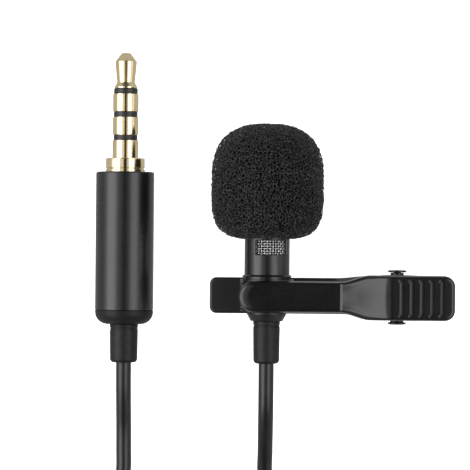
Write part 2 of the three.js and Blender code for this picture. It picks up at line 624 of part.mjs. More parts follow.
function plugShell() {
  const front = -COLLAR_LENGTH - FIT;
  const bore = PLUG_RADIUS - PLUG_WALL;
  const barrel = turned([
    [bore, PLUG_BACK], [PLUG_RADIUS, PLUG_BACK], [PLUG_RADIUS, front],
    [STEM_RADIUS + FIT, front], [STEM_RADIUS + FIT, front - PLUG_FRONT_WALL],
    [bore, front - PLUG_FRONT_WALL], [bore, PLUG_BACK],
  ], FINE);
  const capTop = PLUG_BACK - FIT;
  const hole = BOOT_SPIGOT_RADIUS + FIT;
  const spigot = bore - FIT;
  const cap = turned([
    [hole, PLUG_CAP_END], ...roundEdge(PLUG_RADIUS, PLUG_CAP_END, PLUG_CAP_EDGE),
    [PLUG_RADIUS, capTop], [spigot, capTop],
    [spigot, capTop + PLUG_CAP_SPIGOT], [hole, capTop + PLUG_CAP_SPIGOT], [hole, PLUG_CAP_END],
  ], FINE);
  return [
    mesh('plug_barrel', barrel, BLACK_ANODISED),
    mesh('plug_end_cap', cap, BLACK_PLASTIC),
  ];
}

function innerMould() {
  const outer = PLUG_RADIUS - PLUG_WALL - FIT;
  const top = -COLLAR_LENGTH - PLUG_FRONT_WALL - 2 * FIT;
  const seat = -COLLAR_LENGTH - STEM_LENGTH - FIT;
  const low = top - MOULD_LENGTH;
  return mesh('inner_mould', turned([
    [MOULD_BORE, low], [outer, low], [outer, top], [STEM_RADIUS + FIT, top],
    [STEM_RADIUS + FIT, seat], [MOULD_BORE, seat], [MOULD_BORE, low],
  ]), BLACK_RUBBER);
}

function plugWires() {
  const wires = [];
  for (let i = 0; i < PLUG_WIRES; i += 1) {
    const turn = (i / PLUG_WIRES) * 2 * Math.PI;
    const wire = rod(PLUG_WIRE_RADIUS, PLUG_BOOT_END + REST_GAP, TIP_TAIL - REST_GAP, WIRE_SIDES)
      .translate(PLUG_WIRE_CIRCLE * Math.cos(turn), 0, PLUG_WIRE_CIRCLE * Math.sin(turn));
    wires.push(mesh(`plug_wire_${i + 1}`, wire, finish(WIRE_COLOURS[i], 0.5, 0)));
  }
  return wires;
}

// ---------------------------------------------------------------------------------------------
// Lead: routes chosen by hand, in the design frame, each from its strain relief to the coil
// ---------------------------------------------------------------------------------------------
const MIC_ROUTE = [
  [0, BOOT_END - REST_GAP, MIC_AXIS_Z], [0, -12, 7.45], [0, -15, 6.75], [0, -18, 5.3],
  [0, -21, 3.6], [0, -24, 2.3], [0.55, -27.2, 1.8], [1.85, -30.5, 1.7],
];
const PLUG_ROUTE = [
  [-PLUG_OFFSET, PLUG_SHOULDER_Y + PLUG_BOOT_END - REST_GAP, PLUG_RADIUS],
  [-PLUG_OFFSET, -12, 3.65], [-PLUG_OFFSET, -15, 2.7], [-PLUG_OFFSET, -18, 1.6],
  [-PLUG_OFFSET, -21, 1.1], [-PLUG_OFFSET, -24, 1.45], [-PLUG_OFFSET - 0.55, -27.2, 2.6],
  [-PLUG_OFFSET - 1.85, -30.5, 4.3],
];

function cordRun(name, route) {
  const path = new THREE.CatmullRomCurve3(route.map(([x, y, z]) => new THREE.Vector3(x, y, z)));
  const section = new THREE.Shape();
  for (let i = 0; i <= CORD_SIDES; i += 1) {
    const turn = (i / CORD_SIDES) * 2 * Math.PI;
    const point = [CORD_RADIUS * Math.cos(turn), CORD_RADIUS * Math.sin(turn)];
    if (i === 0) section.moveTo(...point);
    else section.lineTo(...point);
  }
  const steps = Math.round(path.getLength() / CORD_STEP);
  const run = new THREE.ExtrudeGeometry(section, { steps, extrudePath: path, bevelEnabled: false });
  return mesh(name, run, BLACK_RUBBER);
}

function cordCoil() {
  const coil = tube(COIL_MEAN_RADIUS - COIL_HALF_WIDTH, COIL_MEAN_RADIUS + COIL_HALF_WIDTH, 0,
    COIL_HEIGHT, FINE).rotateX(Math.PI / 2);
  return mesh('cord_coil', coil.translate(COIL_X, COIL_Y, COIL_BOTTOM), BLACK_RUBBER);
}

// The tie goes round the coil's cross-section on the side that faces away from the microphone.
function coilTie() {
  const frame = (inner, outer, low, high) =>
    [[inner, low], [outer, low], [outer, high], [inner, high]];
  const inner = COIL_MEAN_RADIUS - COIL_HALF_WIDTH - TIE_SLACK;
  const outer = COIL_MEAN_RADIUS + COIL_HALF_WIDTH + REST_GAP;
  const high = COIL_BOTTOM + COIL_HEIGHT + REST_GAP;
  const band = polygon(frame(inner - TIE_THICKNESS, outer + TIE_THICKNESS, 0,
    high + TIE_THICKNESS));
  band.holes.push(new THREE.Path(frame(inner, outer, TIE_THICKNESS, high)
    .map(([x, y]) => new THREE.Vector2(x, y))));
  const tie = alongY(band, -TIE_WIDTH / 2, TIE_WIDTH / 2).rotateZ(-Math.PI / 2);
  return mesh('coil_tie', tie.translate(COIL_X, COIL_Y, 0), BLACK_PLASTIC);
}

// ---------------------------------------------------------------------------------------------
// Assembly
// ---------------------------------------------------------------------------------------------
const microphone = new THREE.Group();
microphone.position.z = MIC_AXIS_Z;
microphone.add(micBarrel(), meshGrille(), barrelCap(), ...capsule(), ...micWires(), tailNut());
microphone.add(boot('mic_boot', BOOT_RADIUS, BOOT_LENGTH - FIT, NUT_END - FIT), windscreen());
microphone.add(gripSleeve(), outerLever(), innerLever(), ...pivotPin(), torsionSpring());

const plug = new THREE.Group();
plug.position.set(-PLUG_OFFSET, PLUG_SHOULDER_Y, PLUG_RADIUS);
plug.add(jackTip(), ...jackStack(), ...plugShell(), innerMould(), ...plugWires());
plug.add(boot('plug_boot', PLUG_BOOT_RADIUS, PLUG_BOOT_LENGTH, PLUG_CAP_END - FIT));

// The origin is on the table, under the middle of the microphone and its clip.
const lavalier = new THREE.Group();
lavalier.add(microphone, plug, cordRun('mic_cord', MIC_ROUTE), cordRun('plug_cord', PLUG_ROUTE));
lavalier.add(cordCoil(), coilTie());
lavalier.position.set(-(PLATE_TIP + GRIP_END) / 2, -(NUT_END + FOAM_BOTTOM + FOAM_LENGTH) / 2, 0);

export default lavalier;
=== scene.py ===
"""Looks of a clip-on lavalier microphone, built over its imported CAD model."""
import bmesh
import bpy
import math
from mathutils import Matrix, Vector


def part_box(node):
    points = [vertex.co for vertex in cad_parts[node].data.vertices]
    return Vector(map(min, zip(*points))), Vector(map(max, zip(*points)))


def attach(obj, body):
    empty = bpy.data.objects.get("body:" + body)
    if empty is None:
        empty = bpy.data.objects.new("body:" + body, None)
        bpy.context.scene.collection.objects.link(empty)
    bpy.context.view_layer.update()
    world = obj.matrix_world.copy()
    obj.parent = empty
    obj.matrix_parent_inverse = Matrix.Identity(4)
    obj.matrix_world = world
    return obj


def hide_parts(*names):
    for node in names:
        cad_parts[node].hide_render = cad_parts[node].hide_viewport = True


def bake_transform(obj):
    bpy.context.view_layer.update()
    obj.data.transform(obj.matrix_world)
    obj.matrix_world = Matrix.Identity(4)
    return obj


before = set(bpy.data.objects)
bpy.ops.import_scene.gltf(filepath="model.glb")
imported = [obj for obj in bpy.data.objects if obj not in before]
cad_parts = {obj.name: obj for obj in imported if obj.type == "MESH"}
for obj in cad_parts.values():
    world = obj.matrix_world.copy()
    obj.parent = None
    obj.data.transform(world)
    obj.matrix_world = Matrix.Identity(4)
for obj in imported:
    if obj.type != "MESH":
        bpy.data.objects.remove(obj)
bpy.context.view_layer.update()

MM = 0.001


def middle(node):
    low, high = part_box(node)
    return (low + high) / 2


# Places read from the frame. Sizes are in millimetres unless a comment says otherwise. A clip piece
# is drawn round the microphone's axis, and a plug piece round the plug's, with Y along both.
MIC_AXIS = middle("mic_barrel")
CLIP_ORIGIN = Vector((MIC_AXIS.x, middle("outer_lever").y, MIC_AXIS.z))
PLUG_AXIS = middle("plug_barrel")
PLUG_ORIGIN = Vector((PLUG_AXIS.x, 0, PLUG_AXIS.z))
CORD_RADIUS = 1.02
BARREL_RADIUS = 3.0
PIN_X = 17.3
PIN_RADIUS = 0.88


def size_of(node, axis):
    """A node's length along an axis."""
    low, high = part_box(node)
    return (high - low)[axis] / MM


def ends(node, origin=CLIP_ORIGIN):
    """Where a node starts and stops along Y, from an origin."""
    return [(corner - origin).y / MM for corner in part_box(node)]


def assign(thing, **settings):
    """Sets several of a thing's attributes, in order."""
    for name, value in settings.items():
        setattr(thing, name, value)


def fill_in(node, **values):
    """Sets a shader node's inputs, with _ for a space in a name."""
    for name, value in values.items():
        node.inputs[name.replace("_", " ")].default_value = value


# ---- Camera, light and table ----
CAMERA_HEIGHT = 373.9
SENSOR = 36.0
LENS = 211.1
VIEW_CENTRE = (-12.63, -1.715)
ROLL = math.radians(0.5)
# Area lights that look at the middle of the object: tilt in degrees from straight up towards +X,
# width in metres, and brightness.
SOFTBOXES = (("left_softbox", -47, 0.90, 0.75), ("left_hot_spot", -52, 0.40, 2.7),
             ("right_softbox", 45, 0.88, 0.6), ("right_hot_spot", 38, 0.32, 2.1))
SOFTBOX_LENGTH = 0.9  # metres, as is the distance
SOFTBOX_DISTANCE = 0.6
SKY_PALE = 0.5
SKY_DARK = 0.02
SKY_PALE_BELOW = 0.2  # both by the sine of the height above the horizon
SKY_DARK_ABOVE = 0.6
TABLE_HALF = 3.0  # metres
TABLE_DROP = 0.4
PAPER_WHITE = 0.9


def set_camera():
    data = bpy.data.cameras.new("camera")
    assign(data, sensor_width=SENSOR, lens=LENS, clip_start=0.01, clip_end=10)
    camera = linked("camera", data)
    place = (VIEW_CENTRE[0] * MM, VIEW_CENTRE[1] * MM, CAMERA_HEIGHT * MM)
    assign(camera, location=place, rotation_euler=(0, 0, ROLL))
    bpy.context.scene.camera = camera


def set_light():
    for name, tilt, width, brightness in SOFTBOXES:
        data = bpy.data.lights.new(name, "AREA")
        assign(data, shape="RECTANGLE", size=width, size_y=SOFTBOX_LENGTH,
               energy=brightness * math.pi * width * SOFTBOX_LENGTH)
        swing = Matrix.Rotation(math.radians(tilt), 4, "Y")
        linked(name, data).matrix_world = swing @ Matrix.Translation((0, 0, SOFTBOX_DISTANCE))
    world = bpy.data.worlds.new("studio")
    world.use_nodes = True
    nodes, links = world.node_tree.nodes, world.node_tree.links
    sky = nodes.new("ShaderNodeTexCoord")
    parts = nodes.new("ShaderNodeSeparateXYZ")
    shade = nodes.new("ShaderNodeMapRange")
    shade.interpolation_type = "SMOOTHSTEP"
    fill_in(shade, From_Min=SKY_PALE_BELOW, From_Max=SKY_DARK_ABOVE, To_Min=SKY_PALE, To_Max=SKY_DARK)
    links.new(sky.outputs["Generated"], parts.inputs["Vector"])
    links.new(parts.outputs["Z"], shade.inputs["Value"])
    links.new(shade.outputs["Result"], nodes["Background"].inputs["Strength"])
    fill_in(nodes["Background"], Color=(1, 1, 1, 1))
    bpy.context.scene.world = world
    bpy.context.scene.view_settings.view_transform = "Standard"


def lay_table():
    half = TABLE_HALF
    corners = [(-half, -half, 0), (half, -half, 0), (half, half, 0), (-half, half, 0)]
    table = mesh_piece("table_top", corners, [(0, 1, 2, 3)])
    table.location.z = -TABLE_DROP * MM
    paper = bpy.data.materials.new("white_paper")
    paper.use_nodes = True
    white = (PAPER_WHITE, PAPER_WHITE, PAPER_WHITE, 1)
    fill_in(paper.node_tree.nodes["Principled BSDF"], Base_Color=white, Roughness=0.9,
            Emission_Color=(1, 1, 1, 1), Emission_Strength=PAPER_WHITE)
    table.data.materials.append(paper)
    table.visible_glossy = False


# ---- Mesh helpers ----
def linked(name, data):
    piece = bpy.data.objects.new(name, data)
    bpy.context.scene.collection.objects.link(piece)
    return piece


def mesh_piece(name, points, faces):
    mesh = bpy.data.meshes.new(name)
    mesh.from_pydata([tuple(p) for p in points], [], faces)
    return linked(name, mesh)


def baked(holder):
    """A plain mesh piece in place of a curve or of a piece with modifiers."""
    name = holder.name
    depsgraph = bpy.context.evaluated_depsgraph_get()
    mesh = bpy.data.meshes.new_from_object(holder.evaluated_get(depsgraph))
    bpy.data.objects.remove(holder)
    return linked(name, mesh)


def tidy_mesh(piece, gap=1e-6, sharp=35):
    """Merges doubles, points the faces outwards and shades smooth up to a sharp angle."""
    shape = bmesh.new()
    shape.from_mesh(piece.data)
    bmesh.ops.remove_doubles(shape, verts=shape.verts, dist=gap)
    bmesh.ops.dissolve_degenerate(shape, edges=shape.edges, dist=gap / 2)
    bmesh.ops.recalc_face_normals(shape, faces=shape.faces)
    shape.to_mesh(piece.data)
    shape.free()
    piece.data.shade_smooth()
    piece.data.set_sharp_from_angle(angle=math.radians(sharp))
    return piece


def join_pieces(name, pieces):
    """One mesh in place of several."""
    shape = bmesh.new()
    for piece in pieces:
        shape.from_mesh(piece.data)
    joined = mesh_piece(name, [], [])
    shape.to_mesh(joined.data)
    shape.free()
    for piece in pieces:
        bpy.data.objects.remove(piece)
    return joined


def arc(centre, radius, start, stop, steps):
    """Points on a circle from start to stop, in degrees."""
    points = []
    for i in range(steps + 1):
        turn = math.radians(start + (stop - start) * i / steps)
        points.append((centre[0] + radius * math.cos(turn), centre[1] + radius * math.sin(turn)))
    return points


def rounded(outline, radius, steps=4):
    """A copy of a closed outline with each corner rounded where there is room for it.

    A point's third number is its own radius.
    """
    count = len(outline)
    points = []
    for i, here in enumerate(outline):
        corner = Vector(here[:2])
        before = Vector(outline[i - 1][:2]) - corner
        after = Vector(outline[(i + 1) % count][:2]) - corner
        bend = math.pi - before.angle(after)
        wish = here[2] if len(here) > 2 else radius
        cut = min(wish * math.tan(bend / 2), 0.45 * before.length, 0.45 * after.length)
        if bend < 0.05 or wish == 0 or cut < 1e-5:
            points.append(tuple(corner))
            continue
        start = corner + before.normalized() * cut
        stop = corner + after.normalized() * cut
        for k in range(steps + 1):
            t = k / steps
            points.append(tuple(start * (1 - t) ** 2 + corner * (2 * t * (1 - t)) + stop * (t * t)))
    return points


def turned(name, profile, origin, sides=128, start=0.0, sweep=360.0):
    """A piece turned about Y from a closed profile of (radius, y)."""
    whole = sweep >= 360
    rings = sides if whole else sides + 1
    count = len(profile)
    points = []
    for i in range(rings):
        turn = math.radians(start + sweep * i / sides)
        for r, y in profile:
            points.append(origin + Vector((r * math.sin(turn), y, r * math.cos(turn))) * MM)
    faces = []
    for i in range(sides):
        j = (i + 1) % rings
        for k in range(count):
            m = (k + 1) % count
            faces.append((i * count + k, i * count + m, j * count + m, j * count + k))
    if not whole:
        faces.append(tuple(range(count)))
        faces.append(tuple(reversed(range(sides * count, sides * count + count))))
    return tidy_mesh(mesh_piece(name, points, faces))


def curve_piece(name, lines, closed, **settings):
    """A plain mesh piece from straight-sided lines of (x, y, z, 1), with a curve's settings."""
    curve = bpy.data.curves.new(name, "CURVE")
    assign(curve, **settings)
    for line in lines:
        spline = curve.splines.new("POLY")
        spline.points.add(len(line) - 1)
        for knot, place in zip(spline.points, line):
            knot.co = place
        spline.use_cyclic_u = closed
    return baked(linked(name, curve))


def wire(name, points, radius, sides):
    """A round wire along points in metres, closed at its ends."""
    line = [(*place, 1) for place in points]
    piece = curve_piece(name, [line], False, dimensions="3D", bevel_depth=radius * MM,
                        bevel_resolution=sides // 2 - 2, use_fill_caps=True)
    return tidy_mesh(piece, gap=1e-8, sharp=60)


def plate(name, outlines, low, high, origin, edge):
    """A flat plate: outlines in X and Z, the first outside and the rest holes, from y low to high."""
    lines = [[(x * MM, z * MM, 0, 1) for x, z in outline] for outline in outlines]
    piece = curve_piece(name, lines, True, dimensions="2D", fill_mode="BOTH",
                        extrude=((high - low) / 2 - edge) * MM, bevel_depth=edge * MM,
                        bevel_resolution=2, offset=-edge * MM)
    place = Matrix.Translation(origin + Vector((0, (low + high) / 2 * MM, 0)))
    piece.data.transform(place @ Matrix.Rotation(math.radians(90), 4, "X"))
    return tidy_mesh(piece)


def finished(piece, material, body, slot_name, *nodes):
    """Gives a piece its finish and its body, and hides the nodes it stands for. Its slot name is not
    used.
    """
    piece.data.materials.clear()
    piece.data.materials.append(material)
    if nodes:
        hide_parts(*nodes)
    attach(piece, body)
    return piece


# ---- Finishes ----
def noise(per_mm, detail=3.0):
    """A pattern of that many lumps in a millimetre."""
    return "ShaderNodeTexNoise", "Fac", {"Scale": per_mm / MM, "Detail": detail}


def cells(per_mm):
    """A pattern of that many cells in a millimetre."""
    return "ShaderNodeTexVoronoi", "Distance", {"Scale": per_mm / MM}


# Each row: the roughness under its pattern, then colour (pattern, dark end, light end, and where in
# the pattern those ends lie), roughness (pattern, smooth end, coarse end), relief (pattern, depth,
# strength) and what else differs. A colour of one number is a grey.
FINISHES = {
    "anodised_black": (0.28, (noise(0.5), 0.003, 0.005), (noise(9, 4), 0.25, 0.31),
                       (noise(9, 4), 0.006, 0.5), {"Specular_IOR_Level": 0.6}),
    "moulded_black": (0.3, (noise(0.4), 0.004, 0.007), (noise(2.5), 0.2, 0.25),
                      (noise(5), 0.0012, 0.5), {}),
    "satin_black": (0.4, (noise(0.4), 0.006, 0.009), (noise(2.5), 0.34, 0.4),
                    (noise(5), 0.0012, 0.5), {}),
    "dull_cap_black": (0.45, (noise(0.4), 0.007, 0.011), (noise(3), 0.4, 0.5),
                       (noise(6), 0.004, 0.4), {"Specular_IOR_Level": 0.2}),
    "soft_rubber": (0.55, (noise(1.2), 0.004, 0.008), (noise(5, 5), 0.42, 0.55),
                    (noise(5, 5), 0.03, 0.6), {"Specular_IOR_Level": 0.3}),
    "cable_jacket": (0.42, (noise(0.8), 0.005, 0.008), (noise(4), 0.28, 0.36),
                     (noise(6), 0.006, 0.4), {}),
    # The strands' colour: near black, with lighter lumps at random along them. These lumps are painted
    # glints, standing in for light caught on the strands.
    "foam_strands": (0.3, (noise(4.5, 1.0), 0.0008, 0.12, 0.48, 0.76), (noise(3), 0.18, 0.4),
                     (noise(7), 0.03, 0.7), {}),
    # The foam's core: near black with little specular, painted shade for the deep open cells under the
    # strands.
    "painted_foam_depth_shade": (0.95, (cells(2.2), 0.0006, 0.003, 0.2, 0.6), None, (cells(2.2), 0.15, 0.8),
                    {"Specular_IOR_Level": 0.1}),
    # The cloth behind the mesh: black, painted shade for the dark inside of the barrel.
    "shade_cloth_behind_mesh": (0.9, (noise(8), 0.004, 0.009), None, (noise(12), 0.02, 0.6), {}),
    "gold_plate": (0.2, (noise(1.5), (0.88, 0.7, 0.4), (0.95, 0.8, 0.53)),
                   (noise(5), 0.09, 0.16), (noise(8), 0.002, 0.4), {"Metallic": 1.0}),
    "bright_steel": (0.25, (noise(3), 0.55, 0.72), (noise(7), 0.2, 0.34),
                     (noise(10), 0.003, 0.4), {"Metallic": 1.0}),
    "blackened_steel": (0.34, (noise(2), 0.03, 0.06), (noise(6), 0.28, 0.42),
                        (noise(9), 0.003, 0.4), {"Metallic": 1.0}),
    "contact_insulator": (0.4, (noise(2), 0.008, 0.013), (noise(6), 0.34, 0.46),
                          (noise(8), 0.004, 0.4), {}),
    "tie_nylon": (0.5, (noise(1.5), 0.015, 0.022), (noise(4), 0.45, 0.58),
                  (noise(5), 0.02, 0.6), {}),
    "circuit_board": (0.45, (cells(2), (0.01, 0.05, 0.02), (0.03, 0.11, 0.05), 0.1, 0.4),
                      (noise(3), 0.35, 0.55), (cells(2), 0.02, 0.5), {}),
    "silver_film": (0.18, (noise(2), 0.55, 0.7), (noise(4), 0.14, 0.26), None, {"Metallic": 0.7}),
}
# The wires' colours, dark and light.
INSULATIONS = {"red_insulation": ((0.36, 0.02, 0.015), (0.45, 0.035, 0.025)),
               "white_insulation": (0.62, 0.72),
               "blue_insulation": ((0.015, 0.06, 0.28), (0.03, 0.09, 0.36))}
for insulation, tints in INSULATIONS.items():
    FINISHES[insulation] = (0.4, (noise(3), *tints), (noise(5), 0.34, 0.5), None, {})
LENGTHWISE = {"gold_plate": (1, 6, 1)}  # finishes whose pattern is squeezed along Y


def finish(name):
    """A new procedural material on Object coordinates, from the table above."""
    base, colour, rough, bump, rest = FINISHES[name]
    material = bpy.data.materials.new(name)
    material.use_nodes = True
    nodes, links = material.node_tree.nodes, material.node_tree.links
    shader = nodes["Principled BSDF"]
    fill_in(shader, Roughness=base, **rest)
    place = nodes.new("ShaderNodeTexCoord")
    mapping = nodes.new("ShaderNodeMapping")
    fill_in(mapping, Scale=LENGTHWISE.get(name, (1, 1, 1)))
    links.new(place.outputs["Object"], mapping.inputs["Vector"])

    def steer(pattern, kind, entry, leave, target, **values):
        """Sends a pattern through a node of that kind to one of the shader's inputs."""
        source, out, settings = pattern
        texture, node = nodes.new(source), nodes.new(kind)
        fill_in(texture, **settings)
        fill_in(node, **values)
        links.new(mapping.outputs["Vector"], texture.inputs["Vector"])
        links.new(texture.outputs[out], node.inputs[entry])
        links.new(node.outputs[leave], shader.inputs[target])
        return node

    ramp = steer(colour[0], "ShaderNodeValToRGB", "Fac", "Color", "Base Color")
    for element, tint, spot in zip(ramp.color_ramp.elements, colour[1:], colour[3:] or (0.35, 0.65)):
        element.position = spot
        element.color = (*tint, 1) if isinstance(tint, tuple) else (tint, tint, tint, 1)
    if rough:
        steer(rough[0], "ShaderNodeMapRange", "Value", "Result", "Roughness", From_Min=0.3,
              From_Max=0.7, To_Min=rough[1], To_Max=rough[2])
    if bump:
        steer(bump[0], "ShaderNodeBump", "Height", "Normal", "Normal", Distance=bump[1] * MM,
              Strength=bump[2])
    return material


# ---- Lead ----
# Points from the clip's centre line, the microphone's axis and the table, the same as the CAD
# model's routes outside the boots.
MIC_ROUTE = [(0, -7.7, 7.6), (0, -9.26, 7.6), (0, -12, 7.45), (0, -15, 6.75), (0, -18, 5.3),
             (0, -21, 3.6), (0, -24, 2.3), (0.55, -27.2, 1.8), (1.85, -30.5, 1.7)]
PLUG_ROUTE = [(-19.1, -7.9, 3.9), (-19.1, -9.42, 3.9), (-19.1, -12, 3.65), (-19.1, -15, 2.7),
              (-19.1, -18, 1.6), (-19.1, -21, 1.1), (-19.1, -24, 1.45), (-19.65, -27.2, 2.6),
              (-20.95, -30.5, 4.3)]
TO_COIL = (3.8, -35.2, 1.7)
FROM_COIL = ((-24.1, -37.4, 7.45), (-22.7, -34.1, 6.3))
COIL_CENTRE = (-9.55, -46.0)
COIL_OUTER = 16.6
COIL_INNER = 6.65
COIL_LAYERS = 4
COIL_LAYER_STEP = 2.0
COIL_FIRST_LAYER = 1.7
COIL_CLIMB = 0.08  # the share of a layer in which the lead climbs to the next
COIL_TURNS = 19.6156
COIL_START = 20.8  # degrees
TURN_STEPS = 40
LEAD_STEP = 1.0
LEAD_SIDES = 16


def smooth_path(points, before=None, after=None):
    """A Catmull-Rom curve through points, in short steps; before and after steer its ends."""
    knots = [Vector(p) for p in points]
    first = Vector(before) if before else 2 * knots[0] - knots[1]
    last = Vector(after) if after else 2 * knots[-1] - knots[-2]
    knots = [first, *knots, last]
    path = []
    for i in range(1, len(knots) - 2):
        a, b, c, d = knots[i - 1:i + 3]
        count = max(1, round((c - b).length / LEAD_STEP))
        for k in range(count):
            t = k / count
            path.append(0.5 * (2 * b + (c - a) * t + (2 * a - 5 * b + 4 * c - d) * t * t
                               + (3 * b - a - 3 * c + d) * t ** 3))
    path.append(knots[-2])
    return path


def coil_path():
    """Clockwise turns in four layers, in to the middle and out again, from the microphone's side."""
    steps = round(COIL_TURNS * TURN_STEPS)
    per_layer = steps / COIL_LAYERS
    path = []
    for i in range(steps + 1):
        layer = min(COIL_LAYERS - 1, int(i / per_layer))
        along = i / per_layer - layer
        share = along if layer % 2 == 0 else 1 - along
        radius = COIL_OUTER + (COIL_INNER - COIL_OUTER) * share
        climb = max(0.0, (along - (1 - COIL_CLIMB)) / COIL_CLIMB)
        rise = min(1.0, climb) if layer < COIL_LAYERS - 1 else 0.0
        height = COIL_FIRST_LAYER + COIL_LAYER_STEP * (layer + rise)
        turn = math.radians(COIL_START - 360 * i / TURN_STEPS)
        path.append((COIL_CENTRE[0] + radius * math.cos(turn),
                     COIL_CENTRE[1] + radius * math.sin(turn), height))
    return path


def lay_lead():
    """The lead's piece, its centre line and its length in metres."""
    coil = coil_path()
    lead_in = smooth_path([*MIC_ROUTE, TO_COIL, coil[0]], after=coil[1])
    lead_out = smooth_path([coil[-1], *FROM_COIL, *reversed(PLUG_ROUTE)], before=coil[-2])
    points = [Vector((CLIP_ORIGIN.x + x * MM, CLIP_ORIGIN.y + y * MM, z * MM))
              for x, y, z in (*lead_in[:-1], *coil, *lead_out[1:])]
    length = sum((b - a).length for a, b in zip(points, points[1:]))
    return wire("lead", points, CORD_RADIUS, LEAD_SIDES), points, length


# ---- Microphone barrel, nut, boots and sleeve ----
WINDOW_ARC = 93  # degrees, as is the middle of the window that shows
WINDOW_CENTRE = 14.5
WINDOW_LOW = 5.5
WINDOW_HIGH = 7.5
BARREL_WALL = 0.35
BARREL_BANDS = (2, 12)
BARREL_EDGE = 0.07
SIDE_STEP = 3
NUT_BORE = 1.3
NUT_RADIUS = 2.62
NUT_FLANGE = -2.05
BOOT_BORE = 1.06
SPIGOT_RADIUS = 1.25
BOOT_CORNER = 0.5
MIC_BOOT_RADIUS = 1.78
MIC_BOOT_TOP = -3.33
BACKING_RADII = (2.16, 2.28)
SLEEVE_BORE = 3.04
SLEEVE_FLANGE = 3.6
SLEEVE_SLIT = 5.2  # degrees


def in_window(turn):
    return any(abs((turn - WINDOW_CENTRE - half + 180) % 360 - 180) < WINDOW_ARC / 2
               for half in (0, 180))


def mic_barrel():
    """The barrel's tube with its two windows, as walls between an outer and an inner skin."""
    low, high = ends("mic_barrel")
    levels = [low, BARREL_BANDS[0], WINDOW_LOW, WINDOW_HIGH, BARREL_BANDS[1], high]
    open_level = levels.index(WINDOW_LOW)
    sides = 360 // SIDE_STEP
    rows = len(levels)
    first = WINDOW_CENTRE - WINDOW_ARC / 2
    points = []
    for radius in (BARREL_RADIUS, BARREL_RADIUS - BARREL_WALL):
        for i in range(sides):
            turn = math.radians(first + SIDE_STEP * i)
            for y in levels:
                place = Vector((radius * math.sin(turn), y, radius * math.cos(turn)))
                points.append(CLIP_ORIGIN + place * MM)

    def solid(i, k):
        if k < 0 or k >= rows - 1:
            return False
        return k != open_level or not in_window(first + SIDE_STEP * (i + 0.5))

    def face(*corners):
        return tuple(skin * sides * rows + (i % sides) * rows + k for skin, (i, k) in corners)

    faces = []
    for i in range(sides):
        for k in range(rows - 1):
            if not solid(i, k):
                continue
            square = [(i, k), (i + 1, k), (i + 1, k + 1), (i, k + 1)]
            faces.append(face(*((0, corner) for corner in square)))
            faces.append(face(*((1, corner) for corner in reversed(square))))
            beyond = [(i, k - 1), (i + 1, k), (i, k + 1), (i - 1, k)]
            for a, b, neighbour in zip(square, square[1:] + square[:1], beyond):
                if not solid(*neighbour):
                    faces.append(face((0, a), (1, a), (1, b), (0, b)))
    barrel = tidy_mesh(mesh_piece("barrel_tube", points, faces))
    bevel = barrel.modifiers.new("edge", "BEVEL")
    assign(bevel, width=BARREL_EDGE * MM, segments=2, limit_method="ANGLE",
           angle_limit=math.radians(30))
    return tidy_mesh(baked(barrel))


def tail_nut():
    low, high = ends("tail_nut")
    profile = [(NUT_BORE, low, 0.05), (NUT_RADIUS - 0.5, low, 0.12),
               (NUT_RADIUS, NUT_FLANGE - 0.33, 0.06), (NUT_RADIUS, NUT_FLANGE, 0.04),
               (NUT_RADIUS - 0.02, NUT_FLANGE, 0), (NUT_RADIUS - 0.02, high, 0.1),
               (NUT_BORE, high, 0.05)]
    return turned("cone_nut", rounded(profile, 0.05), CLIP_ORIGIN)


def strain_relief(name, ends_at, radius, top, collar, origin):
    """A moulded boot: a shallow groove under its collar and a rounded end."""
    low, spigot = ends_at
    corner = [(*p, 0) for p in arc((radius * 0.97 - BOOT_CORNER, low + BOOT_CORNER), BOOT_CORNER,
                                   270, 360, 8)]
    profile = [(BOOT_BORE, low, 0.08), *corner, (radius, top - collar - 0.3, 0.3),
               (radius - 0.07, top - collar, 0.06), (radius, top - collar + 0.18, 0.08),
               (radius, top, 0.05), (SPIGOT_RADIUS, top, 0.02), (SPIGOT_RADIUS, spigot, 0.1),
               (BOOT_BORE, spigot, 0.1)]
    return turned(name, rounded(profile, 0.05, steps=6), origin)


def mic_boot():
    return strain_relief("mic_strain_relief", ends("mic_boot"), MIC_BOOT_RADIUS, MIC_BOOT_TOP, 0.55,
                         CLIP_ORIGIN)


def mesh_backing():
    """A thin black cloth inside the woven mesh. It is mostly painted shade: it stands in for the dark
    inside of the barrel and hides the wires behind the windows.
    """
    low, high = ends("mesh_grille")
    inner, outer = BACKING_RADII
    low, high = low + 0.05, high - 0.05
    profile = rounded([(inner, low), (outer, low), (outer, high), (inner, high)], 0.03)
    return turned("mesh_backing", profile, CLIP_ORIGIN, sides=72)


def grip_sleeve():
    """The split sleeve, with a flange at each end to hold the clip's ring."""
    low, high = ends("grip_sleeve")
    profile = [(SLEEVE_BORE, low), (SLEEVE_FLANGE, low), (SLEEVE_FLANGE, low + 0.25),
               (3.35, low + 0.25), (3.2, high - 0.25), (3.34, high - 0.25), (3.3, high - 0.18),
               (3.1, high), (SLEEVE_BORE, high)]
    return turned("split_sleeve", rounded(profile, 0.05), CLIP_ORIGIN, sides=120,
                  start=180 + SLEEVE_SLIT, sweep=360 - 2 * SLEEVE_SLIT)


